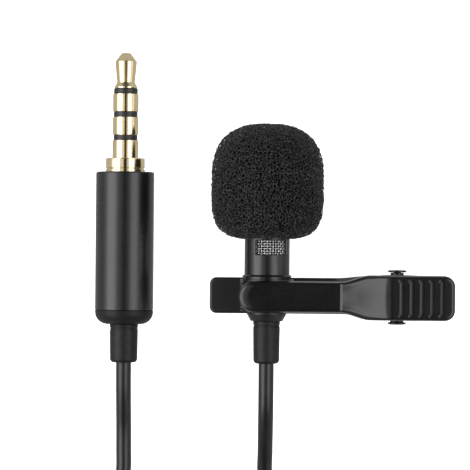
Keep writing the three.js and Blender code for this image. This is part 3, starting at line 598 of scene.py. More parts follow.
# ---- Trees of geometry nodes ----
class Tree:
    """A geometry node tree with named inputs for its sizes, in metres."""

    def __init__(self, name):
        self.group = bpy.data.node_groups.new(name, "GeometryNodeTree")
        sockets = self.group.interface
        sockets.new_socket("Geometry", in_out="INPUT", socket_type="NodeSocketGeometry")
        sockets.new_socket("Geometry", in_out="OUTPUT", socket_type="NodeSocketGeometry")
        self.entry = self.group.nodes.new("NodeGroupInput")
        self.exit = self.group.nodes.new("NodeGroupOutput")

    def size(self, name, default, kind="NodeSocketFloat"):
        socket = self.group.interface.new_socket(name, in_out="INPUT", socket_type=kind)
        socket.default_value = default
        return self.entry.outputs[name]

    def add(self, kind, inputs=None, **settings):
        """A node with its settings, and inputs by name or number as sockets or plain values."""
        node = self.group.nodes.new(kind)
        assign(node, **settings)
        for name, value in (inputs or {}).items():
            if isinstance(value, bpy.types.NodeSocket):
                self.group.links.new(value, node.inputs[name])
            else:
                node.inputs[name].default_value = value
        return node

    def geo(self, kind, inputs=None, **settings):
        """The first output of a new geometry node."""
        return self.add("GeometryNode" + kind, inputs, **settings).outputs[0]

    def math(self, operation, *values):
        return self.add("ShaderNodeMath", dict(enumerate(values)), operation=operation).outputs[0]

    def product(self, *values):
        total = values[0]
        for value in values[1:]:
            total = self.math("MULTIPLY", total, value)
        return total

    def vector(self, operation, inputs):
        return self.add("ShaderNodeVectorMath", inputs, operation=operation).outputs[0]

    def marked(self, geometry, name, value, domain):
        """The geometry with a number stored on it."""
        return self.geo("StoreNamedAttribute", {"Geometry": geometry, "Name": name, "Value": value},
                        data_type="FLOAT", domain=domain)

    def mark(self, name):
        return self.geo("InputNamedAttribute", {"Name": name}, data_type="FLOAT")

    def tubes(self, curves, radius, sides):
        profile = self.geo("CurvePrimitiveCircle", {"Resolution": sides, "Radius": radius},
                           mode="RADIUS")
        return self.geo("CurveToMesh", {"Curve": curves, "Profile Curve": profile,
                                        "Fill Caps": True})

    def end(self, geometry, material):
        whole = self.geo("RealizeInstances", {"Geometry": geometry})
        coated = self.geo("SetMaterial", {"Geometry": whole, "Material": material})
        self.group.links.new(coated, self.exit.inputs[0])

    def run(self, name, base, **sizes):
        """The tree's result on a mesh, as a new plain mesh piece."""
        holder = linked(name, base)
        modifier = holder.modifiers.new("tree", "NODES")
        modifier.node_group = self.group
        for item in self.group.interface.items_tree:
            if item.in_out == "INPUT" and item.name in sizes:
                modifier[item.identifier] = sizes[item.name]
        return baked(holder)


# ---- Woven mesh behind the windows ----
MESH_RADIUS = 2.43
MESH_WARPS = 40
MESH_WEFT_PITCH = 0.33
MESH_WIRE = 0.06
MESH_POINTS = 4  # to a crossing


def weave_tree(material, start, wefts):
    """Wires one way along the tube and the other way round it, over and under each other."""
    tree = Tree("weave")
    radius = tree.size("Radius", MESH_RADIUS * MM)
    low = tree.size("Low", start * MM)
    pitch = tree.size("Pitch", MESH_WEFT_PITCH * MM)
    wave = tree.size("Wave", MESH_WIRE * MM)
    warps = tree.size("Warps", MESH_WARPS, "NodeSocketInt")
    wefts = tree.size("Wefts", wefts, "NodeSocketInt")
    thickness = tree.size("Wire Radius", MESH_WIRE * MM)
    both = tree.add("GeometryNodeJoinGeometry")
    for upright in (True, False):
        strands, crossings = (warps, wefts) if upright else (wefts, warps)
        count = tree.math("ADD", tree.product(crossings, MESH_POINTS), 1)
        line = tree.geo("MeshLine", {"Count": count}, mode="OFFSET", count_mode="TOTAL")
        index = tree.geo("InputIndex")
        line = tree.geo("MeshToCurve", {"Mesh": tree.marked(line, "along", index, "POINT")})
        places = tree.geo("Points", {"Count": strands})
        copies = tree.geo("InstanceOnPoints", {"Points": places, "Instance": line})
        copies = tree.marked(copies, "strand", index, "INSTANCE")
        along = tree.math("DIVIDE", tree.mark("along"), MESH_POINTS)
        strand = tree.mark("strand")
        phase = tree.math("COSINE", tree.product(tree.math("ADD", along, strand), math.pi))
        reach = tree.math("ADD", radius, tree.product(phase, wave, 1 if upright else -1))
        around, up = (strand, along) if upright else (along, strand)
        turn = tree.math("DIVIDE", tree.product(around, 2 * math.pi), warps)
        place = tree.add("ShaderNodeCombineXYZ", {
            "X": tree.product(reach, tree.math("SINE", turn)),
            "Y": tree.math("ADD", low, tree.product(up, pitch)),
            "Z": tree.product(reach, tree.math("COSINE", turn))}).outputs[0]
        real = tree.geo("RealizeInstances", {"Geometry": copies})
        moved = tree.geo("SetPosition", {"Geometry": real, "Position": place})
        tree.group.links.new(tree.tubes(moved, thickness, 6), both.inputs[0])
    tree.end(both.outputs[0], material)
    return tree


def woven_mesh(material):
    low, high = ends("mesh_grille")
    wefts = int((high - low) / MESH_WEFT_PITCH)
    start = (low + high) / 2 - wefts * MESH_WEFT_PITCH / 2
    woven = weave_tree(material, start, wefts).run("woven_mesh", bpy.data.meshes.new("empty"))
    woven.data.transform(Matrix.Translation(CLIP_ORIGIN))
    woven.data.shade_smooth()
    return woven


# ---- Foam windscreen ----
FOAM_POWERS = (4.1, 2.65)  # of the outline's curve, below its middle and above it
FOAM_CELL = 0.33
FOAM_STRAND = 0.043
FOAM_UNEVENNESS = 0.13
FOAM_MOST_CELLS = 3.2e7  # in a square metre
FOAM_LAYERS = ((0.09, 1), (0.33, 2))  # each layer's depth and seed
FOAM_CORE_DEPTH = 0.52
FOAM_BORE = BARREL_RADIUS + 0.1
FOAM_CENTRE = Vector((CLIP_ORIGIN.x, middle("windscreen_foam").y, CLIP_ORIGIN.z))
FOAM_SIDES = 96
FOAM_ROWS = 64


def foam_outline(depth):
    """Half the foam's outline, from foot to crown about its middle, that far under its skin."""
    radius = size_of("windscreen_foam", 0) / 2 - depth
    half = size_of("windscreen_foam", 1) / 2 - depth
    points = []
    for i in range(FOAM_ROWS + 1):
        turn = -math.pi / 2 + math.pi * i / FOAM_ROWS
        power = FOAM_POWERS[0] if turn < 0 else FOAM_POWERS[1]
        r = radius * max(0.0, math.cos(turn)) ** (2 / power)
        y = half * math.copysign(abs(math.sin(turn)) ** (2 / power), turn)
        points.append((r, y))
    return points


def strand_tree(material):
    """Strands over a closed skin: scattered points, a cell round each, and a strand on each edge."""
    tree = Tree("foam_strands")
    cell = tree.size("Cell", FOAM_CELL * MM)
    strand = tree.size("Strand Radius", FOAM_STRAND * MM)
    seed = tree.size("Seed", 1, "NodeSocketInt")
    uneven = tree.size("Unevenness", FOAM_UNEVENNESS * MM)
    bore = tree.size("Bore Radius", FOAM_BORE * MM)
    skin = tree.entry.outputs["Geometry"]
    dots = tree.geo("DistributePointsOnFaces",
                    {"Mesh": skin, "Distance Min": cell, "Density Max": FOAM_MOST_CELLS,
                     "Seed": seed}, distribute_method="POISSON")
    here = tree.geo("InputPosition")
    ball = tree.geo("SetPosition", {"Geometry": dots, "Position": tree.vector("NORMALIZE", {0: here})})
    walls = tree.geo("DualMesh", {"Mesh": tree.geo("ConvexHull", {"Geometry": ball})})
    ray = tree.add("GeometryNodeRaycast",
                   {"Target Geometry": skin, "Source Position": here, "Ray Length": 1.0,
                    "Ray Direction": tree.vector("MULTIPLY", {0: here, 1: (-1, -1, -1)})},
                   data_type="FLOAT")
    swing = tree.add("FunctionNodeRandomValue", {"Seed": seed, 0: (-1, -1, -1), 1: (1, 1, 1)},
                     data_type="FLOAT_VECTOR").outputs[0]
    jitter = tree.vector("SCALE", {0: swing, "Scale": uneven})
    spot = tree.vector("ADD", {0: ray.outputs["Hit Position"], 1: jitter})
    placed = tree.geo("SetPosition", {"Geometry": walls, "Position": spot})
    x, y, z = tree.add("ShaderNodeSeparateXYZ", {0: here}).outputs
    from_axis = tree.math("SQRT", tree.math("ADD", tree.product(x, x), tree.product(z, z)))
    inside = tree.product(tree.math("LESS_THAN", from_axis, bore), tree.math("LESS_THAN", y, 0.0))
    kept = tree.geo("DeleteGeometry", {"Geometry": placed, "Selection": inside}, domain="POINT")
    lines = tree.geo("MeshToCurve", {"Mesh": kept})
    tree.end(tree.tubes(lines, strand, 4), material)
    return tree


def foam_core():
    """The foam's inside, pushed over the barrel's end: a near-black body, darker than the strands,
    that is painted shade for the depths between them.
    """
    roof = (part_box("mic_barrel")[1].y - FOAM_CENTRE.y) / MM + 0.1
    outline = [p for p in foam_outline(FOAM_CORE_DEPTH) if p[0] > FOAM_BORE or p[1] > 0]
    profile = [(0, roof), (FOAM_BORE, roof), (FOAM_BORE, outline[0][1]), *outline]
    profile[-1] = (0, profile[-1][1])
    return turned("foam_core", profile, FOAM_CENTRE, sides=FOAM_SIDES)


def foam_windscreen(material):
    """The open cells that show, one layer of strands under another."""
    parts = []
    tree = strand_tree(material)
    for depth, seed in FOAM_LAYERS:
        skin = turned("skin", foam_outline(depth), Vector(), sides=FOAM_SIDES)
        parts.append(tree.run("strands", skin.data, Seed=seed))
        bpy.data.objects.remove(skin)
    foam = join_pieces("foam_windscreen", parts)
    foam.data.transform(Matrix.Translation(FOAM_CENTRE))
    foam.data.shade_smooth()
    return foam


# ---- Clip levers, drawn with the microphone's axis at x = 0, z = 0 ----
RING_BORE = 3.45
RING_OUTER = 3.64
RING_LOW = -1.6
RING_HIGH = 2.25
FOOT_Z = -3.8
FOOT_HALF = 1.9
FOOT_TOP_RADIUS = 3.52
FOOT_ARC = 57  # degrees from level
TOOTH = 0.15
ARM_TIP = -3.76
ARM_HALF_WIDTH = 2.1
ARM_TOP = 4.65
CREASE = 9.6
CREASE_STEP = 0.2
SHOULDER = 13.6
CREST = 15.8
GRIP_END = 24.6
GRIP_HALF_WIDTH = 2.97
GRIP_TOP = 7.05
GRIP_DIP = 0.2
GRIP_UNDERSIDE = 4.55
GRIP_CEILING = 5.75
GRIP_WALL = 0.75
CORNER_RADIUS = 1.4
RIB_FIRST = 17.22
RIB_PITCH = 1.325
RIB_COUNT = 5
RIB_HALF_LENGTH = 2.4
RAMP_CROWN = 0.12
PLATE_TIP = -7.62
PLATE_HALF_WIDTH = 2.42
PLATE_CORNER = 0.9
PLATE_TOP = -4.1
PLATE_UNDERSIDE = -5.2
TAIL_END = 23.8
TAIL_HALF_WIDTH = 2.7
TAIL_TOP = -6.5
TAIL_UNDERSIDE = -7.6
EAR_RADIUS = 1.7
EAR_BASE = 5.2
INNER_EAR_LOWS = (-1.975, 1.275)
INNER_EAR_THICKNESS = 0.7
STATION_STEP = 0.22
STATION_LEAST = 0.012
CROSS_STEPS = 12
# Lines of (x, value, ease) along a lever, rounded over the ease on each side of a knot.
RIM_WIDTH = [(ARM_TIP, 1.5, 0), (-1.2, 0.85, 1.2), (CREASE, 0.85, 0.3), (12.0, 1.05, 1.0),
             (CREST, 0.5, 0.8), (GRIP_END, 0.5, 0)]
RIM_DROP = [(ARM_TIP, 0.5, 0), (-1.2, 0.3, 1.2), (CREASE, 0.3, 0.3), (12.0, 0.6, 1.0),
            (CREST, 0.45, 0.8), (GRIP_END, 0.45, 0)]
WALL_LEAN = [(ARM_TIP, 0.04, 0), (-1.0, 0.16, 0.5), (CREASE, 0.16, 0.5), (SHOULDER, 0.06, 0.5),
             (GRIP_END, 0.06, 0)]
OUTER_TOP = [(ARM_TIP, ARM_TOP, 0), (CREASE, ARM_TOP, 0.06),
             (CREASE + CREASE_STEP, ARM_TOP + 0.14, 0.09), (11.2, 5.19, 0.6), (13.0, 5.76, 0.8),
             (14.4, 6.33, 0.7), (CREST, GRIP_TOP, 0.6), (GRIP_END, GRIP_TOP - GRIP_DIP, 0)]
OUTER_UNDER = [(ARM_TIP, RING_BORE, 0), (CREASE, RING_BORE, 0.5), (CREST, GRIP_UNDERSIDE, 0.8),
               (GRIP_END, GRIP_UNDERSIDE, 0)]
INNER_TOP = [(PLATE_TIP, PLATE_TOP, 0), (CREASE, PLATE_TOP, 0.5), (CREST, TAIL_TOP, 0.5),
             (TAIL_END, TAIL_TOP, 0)]
INNER_UNDER = [(PLATE_TIP, PLATE_UNDERSIDE, 0), (CREASE, PLATE_UNDERSIDE, 0.5),
               (CREST, TAIL_UNDERSIDE, 0.5), (TAIL_END, TAIL_UNDERSIDE, 0)]
# One rib of the grip: how far past its start, and how far the top is sunk there.
RIB_SHAPE = ((-0.04, 0), (0, 0.05), (0.03, 0.11), (0.07, 0.125), (0.13, 0.105), (0.2, 0.075),
             (0.3, 0.045), (0.45, 0.02), (0.65, 0.005), (RIB_PITCH - 0.04, 0))


def bent(x, knots):
    """The value of a line of knots at x."""
    for (x0, z0, _), (x1, z1, ease), (x2, z2, _) in zip(knots, knots[1:], knots[2:]):
        if abs(x - x1) < ease:
            before = (z1 - z0) / (x1 - x0)
            after = (z2 - z1) / (x2 - x1)
            t = (x - x1 + ease) / (2 * ease)
            return z1 - before * ease + 2 * ease * (before * t + (after - before) * t * t / 2)
    for (x0, z0, _), (x1, z1, _) in zip(knots, knots[1:]):
        if x <= x1 or (x1, z1) == knots[-1][:2]:
            return z0 + (z1 - z0) * (x - x0) / (x1 - x0)


def ease_between(x, low, high):
    t = min(1.0, max(0.0, (x - low) / (high - low)))
    return t * t * (3 - 2 * t)


def half_width(x, arm_half, grip_half):
    return arm_half + (grip_half - arm_half) * ease_between(x, CREASE, SHOULDER)


def lever_outline(tip, arm_half, tip_corner, grip_half, end, marks=()):
    """Half a lever's outline, tip to end, as (x, y, inward x, inward y)."""
    flat = arm_half - tip_corner
    points = arc((tip + tip_corner, flat), tip_corner, 180, 90, 14)
    if flat > 0:
        points.insert(0, (tip, 0))
    points[0] = (tip, 0.0)
    last = end - CORNER_RADIUS
    x = points[-1][0]
    stops = set(marks)
    while x < last - 1e-6:
        x += STATION_STEP
        stops.add(x)
    run = sorted(s for s in stops if points[-1][0] + 1e-3 < s < last)
    points += [(s, half_width(s, arm_half, grip_half)) for k, s in enumerate(run)
               if k == 0 or s - run[k - 1] > STATION_LEAST]
    points += arc((last, grip_half - CORNER_RADIUS), CORNER_RADIUS, 90, 0, 12)
    points.append((end, 0))
    inward = [Vector((1, 0))]
    for (ax, ay), (bx, by) in zip(points, points[2:]):
        along = Vector((bx - ax, by - ay)).normalized()
        inward.append(Vector((along.y, -along.x)))
    inward.append(Vector((-1, 0)))
    return [(*point, *normal) for point, normal in zip(points, inward)]


def lever_shell(name, stations, top, edge, ceiling, relief=None):
    """A lever as cross-sections along its outline.

    edge(station, x) lists (inset, z) from the top's rim, round the side, to the underside's rim,
    and ceiling(x) is the underside's height inside that rim.
    """
    relief = relief or (lambda x, y: 0.0)
    points, loops = [], []
    for px, py, nx, ny in stations:
        rim = edge(px, px)

        def inset_by(inset, share=1.0):
            return px + nx * inset, max(0.0, py + ny * inset) * share

        loop = []
        for side in (1, -1):
            half = []
            for k in range(CROSS_STEPS):
                x, y = inset_by(rim[0][0], k / CROSS_STEPS)
                half.append((x, y, top(x) - relief(x, y)))
            for n, (inset, _) in enumerate(rim):
                x, y = inset_by(inset)
                half.append((x, y, edge(px, x)[n][1]))
            for k in range(CROSS_STEPS - 1, -1, -1):
                x, y = inset_by(rim[-1][0], k / CROSS_STEPS)
                half.append((x, y, ceiling(x)))
            if side < 0:
                half = [(x, -y, z) for x, y, z in half[-2:0:-1]]
            loop += half
        loops.append(range(len(points), len(points) + len(loop)))
        points += [CLIP_ORIGIN + Vector(p) * MM for p in loop]
    faces = []
    for a, b in zip(loops, loops[1:]):
        for k in range(len(a)):
            m = (k + 1) % len(a)
            faces.append((a[k], a[m], b[m], b[k]))
    return tidy_mesh(mesh_piece(name, points, faces), gap=2e-6, sharp=38)


def fillet(inset, z, width, height, steps):
    """(inset, z) points of a rounded rim from the flat top, width in from the wall, down the wall."""
    points = []
    for k in range(steps + 1):
        turn = math.pi / 2 * k / steps
        points.append((inset + width * (1 - math.sin(turn)), z - height * (1 - math.cos(turn))))
    return points


def outer_edge(station, x):
    """Rim of the outer lever: a broad rounded shoulder, then a wall that leans out to its foot."""
    under = bent(x, OUTER_UNDER)
    shoulder = fillet(bent(station, WALL_LEAN), bent(x, OUTER_TOP), bent(station, RIM_WIDTH),
                      bent(station, RIM_DROP), 8)
    rise = 0.02 * ease_between(station, CREASE, SHOULDER)
    return [*shoulder, (0, under + 0.12), (0.03, under + 0.03), (0.1, under),
            (GRIP_WALL - 0.03, under), (GRIP_WALL, under + rise)]


def outer_ceiling(x):
    return GRIP_CEILING if x > SHOULDER + GRIP_WALL else bent(x, OUTER_UNDER)


def inner_edge(station, x):
    top, under = bent(x, INNER_TOP), bent(x, INNER_UNDER)
    return [(0.27, top), (0.24, top - 0.008), (0.2, top - 0.028),
            *fillet(0, top - 0.04, 0.16, 0.16, 4), (0, under + 0.15), (0.05, under + 0.04),
            (0.15, under)]


def top_relief(x, y):
    """How far the outer lever's top is sunk: less than nothing on the crowned ramp, then the ribs."""
    if CREASE < x < CREST:
        swell = math.sin(math.pi * (x - CREASE) / (CREST - CREASE))
        rim = half_width(x, ARM_HALF_WIDTH, GRIP_HALF_WIDTH) - bent(x, RIM_WIDTH)
        return -RAMP_CROWN * swell * max(0.0, 1 - (y / rim) ** 2)
    fade = 1 - ease_between(abs(y), RIB_HALF_LENGTH - 0.2, RIB_HALF_LENGTH)
    for i in range(RIB_COUNT):
        past = x - RIB_FIRST - i * RIB_PITCH
        if RIB_SHAPE[0][0] <= past < RIB_SHAPE[-1][0]:
            for (x0, d0), (x1, d1) in zip(RIB_SHAPE, RIB_SHAPE[1:]):
                if past <= x1:
                    return fade * (d0 + (d1 - d0) * (past - x0) / (x1 - x0))
    return 0.0


def ear(root, low, thickness, hole):
    """A flat ear, round about the pin and wide at its lever."""
    side = math.copysign(1, root)
    half = EAR_BASE / 2
    start = 180 if side > 0 else 0
    outline = [(PIN_X + side * half, root), (PIN_X - side * half, root),
               *arc((PIN_X, 0), EAR_RADIUS, start, start + 180, 24)]
    bore = arc((PIN_X, 0), hole, 0, 360, 32)[:-1]
    return plate("ear", [outline, bore], low, low + thickness, CLIP_ORIGIN, 0.06)


def clip_ring():
    """The ring round the microphone, cut flat under its foot."""
    profile = [(RING_BORE, RING_LOW, 0.06), (3.55, RING_LOW, 0.1), (RING_OUTER, RING_LOW + 0.5, 0.12),
               (RING_OUTER, RING_HIGH - 0.55, 0.12), (3.52, RING_HIGH, 0.1),
               (RING_BORE, RING_HIGH, 0.06)]
    ring = turned("ring", rounded(profile, 0.1), CLIP_ORIGIN)
    for vertex in ring.data.vertices:
        vertex.co.z = max(vertex.co.z, CLIP_ORIGIN.z + FOOT_Z * MM)
    return ring


def jaw_foot():
    """The toothed foot under the ring."""
    outline = [(FOOT_HALF, FOOT_Z)]
    for x in (FOOT_HALF / 2, 0, -FOOT_HALF / 2):
        outline += [(x + TOOTH, FOOT_Z), (x, FOOT_Z + TOOTH), (x - TOOTH, FOOT_Z)]
    outline.append((-FOOT_HALF, FOOT_Z))
    outline += arc((0, 0), FOOT_TOP_RADIUS, 180 + FOOT_ARC, 360 - FOOT_ARC, 20)
    return plate("foot", [outline], RING_LOW, RING_HIGH - 0.15, CLIP_ORIGIN, 0.05)


def outer_lever():
    marks = [RIB_FIRST + i * RIB_PITCH + past for i in range(RIB_COUNT) for past, _ in RIB_SHAPE]
    marks += [CREASE + past for past in (-0.06, 0, 0.06, 0.11, CREASE_STEP, 0.29)]
    marks += [CREST + past for past in (-0.8, -0.4, 0, 0.4, 0.8)]
    marks += [SHOULDER + GRIP_WALL, SHOULDER + GRIP_WALL + 0.02]
    stations = lever_outline(ARM_TIP, ARM_HALF_WIDTH, ARM_HALF_WIDTH, GRIP_HALF_WIDTH, GRIP_END,
                             marks)
    shell = lever_shell("arm", stations, lambda x: bent(x, OUTER_TOP), outer_edge, outer_ceiling,
                        top_relief)
    ears = [ear(GRIP_UNDERSIDE + 0.5, low, GRIP_WALL, PIN_RADIUS + 0.05)
            for low in (-GRIP_HALF_WIDTH, GRIP_HALF_WIDTH - GRIP_WALL)]
    return join_pieces("outer_lever_moulding", [shell, clip_ring(), jaw_foot(), *ears])


def inner_lever():
    stations = lever_outline(PLATE_TIP, PLATE_HALF_WIDTH, PLATE_CORNER, TAIL_HALF_WIDTH, TAIL_END)
    shell = lever_shell("plate", stations, lambda x: bent(x, INNER_TOP), inner_edge,
                        lambda x: bent(x, INNER_UNDER))
    ears = [ear(TAIL_TOP - 0.5, low, INNER_EAR_THICKNESS, PIN_RADIUS + 0.1)
            for low in INNER_EAR_LOWS]
    return join_pieces("inner_lever_moulding", [shell, *ears])


# ---- Hinge: pin, washer and spring ----
PIN_CENTRE = CLIP_ORIGIN + Vector((PIN_X * MM, 0, 0))
PIN_FACE = GRIP_HALF_WIDTH + 0.36
PIN_HEAD_RADIUS = 1.24
PIN_END_RADIUS = 0.5
SPRING_WIRE = 0.4
SPRING_TURNS = 3
SPRING_REACH = 5.2
SPRING_HALF_LENGTH = 0.85
SPRING_GAP = 0.3


def pivot_pin():
    head, rod, face = PIN_HEAD_RADIUS, PIN_END_RADIUS, PIN_FACE
    profile = [(0, -face - 0.3, 0), (0.9, -face - 0.3, 0.1), (head, -face - 0.17, 0.08),
               (head, -face, 0.04), (PIN_RADIUS, -face + 0.04, 0.1),
               (PIN_RADIUS, face - 0.05, 0.04), (rod, face - 0.05, 0.02), (rod, face + 0.3, 0.08),
               (0, face + 0.3, 0)]
    return turned("hinge_pin", rounded(profile, 0.04), PIN_CENTRE, sides=64)


def pin_washer():
    bore, head, face = PIN_END_RADIUS + 0.03, PIN_HEAD_RADIUS, PIN_FACE
    profile = [(bore, face), (head, face), (head, face + 0.18), (1.1, face + 0.28),
               (bore, face + 0.28)]
    return turned("push_washer", rounded(profile, 0.04), PIN_CENTRE, sides=64)


def torsion_spring():
    """Coil round the pin, with a leg along each lever's grip."""
    coil = PIN_RADIUS + 0.1 + SPRING_WIRE / 2
    feet = (GRIP_CEILING - SPRING_GAP, TAIL_TOP + SPRING_GAP)
    tangent = [math.atan2(abs(foot), SPRING_REACH) + math.acos(coil / math.hypot(SPRING_REACH, foot))
               for foot in feet]
    start, stop = tangent[0], 2 * math.pi * (1 + SPRING_TURNS) - tangent[1]
    points = [(PIN_X + SPRING_REACH, SPRING_HALF_LENGTH, feet[0])]
    steps = 22 * (SPRING_TURNS + 1)
    for i in range(steps + 1):
        turn = start + (stop - start) * i / steps
        y = SPRING_HALF_LENGTH - 2 * SPRING_HALF_LENGTH * i / steps
        points.append((PIN_X + coil * math.cos(turn), y, coil * math.sin(turn)))
    points.append((PIN_X + SPRING_REACH, -SPRING_HALF_LENGTH, feet[1]))
    return wire("jaw_spring", [CLIP_ORIGIN + Vector(p) * MM for p in points], SPRING_WIRE / 2, 12)


# ---- Plug ----
JACK_RADIUS = 1.75
JACK_LENGTH = 14.12
JACK_BORE = 1.45
COLLAR_RADIUS = 2.62
COLLAR_NECK = 2.25
PLUG_RADIUS = 3.9
PLUG_MOUTH = 2.3
PLUG_LINING = 0.8
CAP_BORE = 1.3
CAP_INSIDE = 3.05
CAP_CORNER = 1.65
CAP_RIM_DROP = 2
PLUG_BOOT_RADIUS = 1.89
INSULATOR = (1.6, 0.68)  # radius, and the length of the head
RING = (1.72, 2.35)
# Each contact's piece, node, bore and form, from the tip back.
CONTACTS = (("tip_insulator", "insulator_1", 0.4, INSULATOR),
            ("first_ring", "jack_ring_1", 0.6, RING),
            ("ring_insulator", "insulator_2", 0.8, INSULATOR),
            ("second_ring", "jack_ring_2", 1.0, RING),
            ("sleeve_insulator", "insulator_3", 1.2, INSULATOR))


def plug_piece(name, profile, sides=96, steps=4, radius=0.04):
    return turned(name, rounded(profile, radius, steps), PLUG_ORIGIN, sides=sides)


def contact(name, node, bore, form):
    """A ring or an insulator of the jack, from its tail inside the plug to its head."""
    radius, head = form
    tail, high = ends(node, PLUG_ORIGIN)
    return plug_piece(name, [(bore, tail, 0), (bore + 0.12, tail, 0), (bore + 0.12, high - head, 0),
                             (radius, high - head, 0.04), (radius, high, 0.04), (bore, high, 0)])


def jack_tip():
    tail, top = ends("jack_tip", PLUG_ORIGIN)
    low = top - 4.75
    profile = [(0, tail, 0), (0.35, tail, 0), (0.35, low, 0), (1.5, low, 0.05),
               (1.54, low + 0.2, 0.1), (1.2, low + 0.8, 0.35), (1.46, top - 1.16, 0.12),
               (0.6, top, 0.22), (0, top, 0)]
    return plug_piece("tip_contact", profile, steps=6)


def jack_sleeve():
    low, top = ends("jack_sleeve", PLUG_ORIGIN)
    shoulder = ends("jack_tip", PLUG_ORIGIN)[1] - JACK_LENGTH
    groove = COLLAR_RADIUS - 0.12
    profile = [(JACK_BORE, low, 0), (COLLAR_NECK, low, 0), (COLLAR_NECK, shoulder - 1.9, 0),
               (COLLAR_RADIUS, shoulder - 1.9, 0.05), (COLLAR_RADIUS, shoulder - 1.5, 0.05),
               (groove, shoulder - 1.44, 0.03), (groove, shoulder - 1.34, 0.03),
               (COLLAR_RADIUS, shoulder - 1.28, 0.05), (COLLAR_RADIUS, shoulder, 0.16),
               (JACK_RADIUS, shoulder, 0.05), (JACK_RADIUS, top, 0.04), (JACK_BORE, top, 0)]
    return plug_piece("sleeve_contact", profile)


def plug_barrel():
    low, high = ends("plug_barrel", PLUG_ORIGIN)
    inside = PLUG_RADIUS - PLUG_LINING
    profile = [(inside, low, 0.02), (PLUG_RADIUS, low, 0.06), (PLUG_RADIUS, high, 0.28),
               (PLUG_MOUTH, high, 0.05), (PLUG_MOUTH, high - 1.2, 0), (inside, high - 1.2, 0)]
    return plug_piece("plug_shell", profile, sides=160, steps=6, radius=0.05)


def plug_end_cap():
    low, high = ends("plug_end_cap", PLUG_ORIGIN)
    rim = high - CAP_RIM_DROP
    corner = [(*p, 0) for p in arc((PLUG_RADIUS - CAP_CORNER, low + CAP_CORNER), CAP_CORNER,
                                   270, 360, 14)]
    profile = [(CAP_BORE, low, 0.04), *corner, (PLUG_RADIUS, rim, 0.05), (CAP_INSIDE, rim, 0),
               (CAP_INSIDE, high, 0.1), (CAP_BORE, high, 0)]
    return plug_piece("plug_tail_cap", profile, sides=160, steps=12, radius=0.05)


def plug_boot():
    top = ends("plug_end_cap", PLUG_ORIGIN)[0] - 0.03
    return strain_relief("plug_strain_relief", ends("plug_boot", PLUG_ORIGIN), PLUG_BOOT_RADIUS, top,
                         0.5, PLUG_ORIGIN)


# ---- Tie round the coil ----
TIE_THICKNESS = 0.4
TIE_RIDGES = 9
RIDGE_PITCH = 0.55
RIDGE_FIRST = 3.0  # from the strap's end
RIDGE_WIDTH = 0.3


def coil_tie():
    """A flat strap round the coil's far side, with ridges on its upper run."""
    low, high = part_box("coil_tie")
    half_x = (high.x - low.x) / 2 / MM
    centre = (low + high) / 2
    long_half = (high.y - low.y) / 2 / MM
    tall = high.z / MM

    def band(inset, radius):
        far, above = long_half - inset, tall - inset
        return rounded([(-far, inset), (far, inset), (far, above), (-far, above)], radius, steps=8)

    outlines = [band(0.02, 1.1), band(TIE_THICKNESS, 0.7)]
    pieces = [plate("strap", outlines, -half_x, half_x, Vector(), 0.08)]
    for i in range(TIE_RIDGES):
        x = RIDGE_PITCH * i - long_half + RIDGE_FIRST
        foot, head = tall - TIE_THICKNESS, tall + 0.02
        outline = rounded([(x, foot), (x + RIDGE_WIDTH, foot), (x + RIDGE_WIDTH - 0.05, head),
                           (x + 0.05, head)], 0.03)
        pieces.append(plate("ridge", [outline], -half_x + 0.4, half_x - 0.4, Vector(), 0.03))
    tie = join_pieces("lead_tie", pieces)
    turn = Matrix.Rotation(math.radians(-90), 4, "Z")
    tie.data.transform(Matrix.Translation((centre.x, centre.y, 0)) @ turn)
    return tie


# ---- Assembly ----
def dress(material, *nodes):
    """Gives CAD nodes a finish on their own slots."""
    for node in nodes:
        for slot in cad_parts[node].material_slots:
            slot.link = "OBJECT"
            slot.material = material


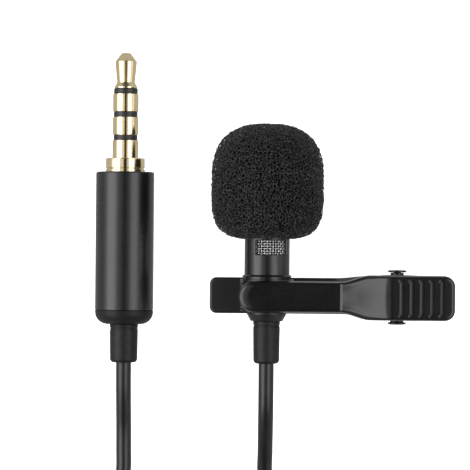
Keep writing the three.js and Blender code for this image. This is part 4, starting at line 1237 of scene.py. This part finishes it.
def build():
    black = finish("anodised_black")
    plastic = finish("moulded_black")
    rubber = finish("soft_rubber")
    jacket = finish("cable_jacket")
    gold = finish("gold_plate")
    steel = finish("bright_steel")
    dark_steel = finish("blackened_steel")
    insulator = finish("contact_insulator")

    set_camera()
    lead, path, length = lay_lead()
    finished(lead, jacket, "microphone", "cable_jacket", "mic_cord", "cord_coil", "plug_cord")
    set_light()
    lay_table()

    mic = "microphone"
    finished(mic_barrel(), black, mic, "anodised", "mic_barrel")
    finished(tail_nut(), finish("satin_black"), mic, "anodised", "tail_nut")
    finished(woven_mesh(steel), steel, mic, "steel", "mesh_grille")
    finished(mesh_backing(), finish("shade_cloth_behind_mesh"), mic, "foam")
    boot = finished(mic_boot(), rubber, mic, "rubber", "mic_boot")
    strands = finish("foam_strands")
    foam = finished(foam_windscreen(strands), strands, "windscreen", "foam", "windscreen_foam")
    core = finished(foam_core(), finish("painted_foam_depth_shade"), "windscreen", "foam", "windscreen_foam")
    finished(grip_sleeve(), plastic, "sleeve", "clip_plastic", "grip_sleeve")

    finished(outer_lever(), plastic, "outer_lever", "clip_plastic", "outer_lever")
    finished(inner_lever(), finish("satin_black"), "inner_lever", "clip_plastic", "inner_lever")
    finished(pivot_pin(), dark_steel, "outer_lever", "dark_steel", "pivot_pin")
    finished(pin_washer(), dark_steel, "outer_lever", "dark_steel", "pin_washer")
    spring = torsion_spring()
    spring.data.materials.append(steel)
    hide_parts("torsion_spring")
    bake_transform(spring)

    plug = [finished(jack_tip(), gold, mic, "gold", "jack_tip")]
    for name, node, bore, form in CONTACTS:
        coat, slot_name = (gold, "gold") if form is RING else (insulator, "insulator")
        plug.append(finished(contact(name, node, bore, form), coat, mic, slot_name, node))
    plug += [
        finished(jack_sleeve(), gold, mic, "gold", "jack_sleeve"),
        finished(plug_barrel(), black, mic, "anodised", "plug_barrel"),
        finished(plug_end_cap(), finish("dull_cap_black"), mic, "cap_plastic", "plug_end_cap"),
        finished(plug_boot(), rubber, mic, "rubber", "plug_boot"),
    ]
    tie = finished(coil_tie(), finish("tie_nylon"), mic, "tie_plastic", "coil_tie")

    dress(black, "barrel_cap")
    dress(steel, "capsule_can")
    dress(rubber, "capsule_gasket", "inner_mould")
    dress(finish("circuit_board"), "capsule_board")
    dress(gold, "capsule_backplate")
    dress(finish("silver_film"), "capsule_diaphragm")
    dress(finish("red_insulation"), "mic_wire_1", "plug_wire_1")
    dress(finish("white_insulation"), "mic_wire_2", "plug_wire_2")
    dress(finish("blue_insulation"), "plug_wire_3")


build()
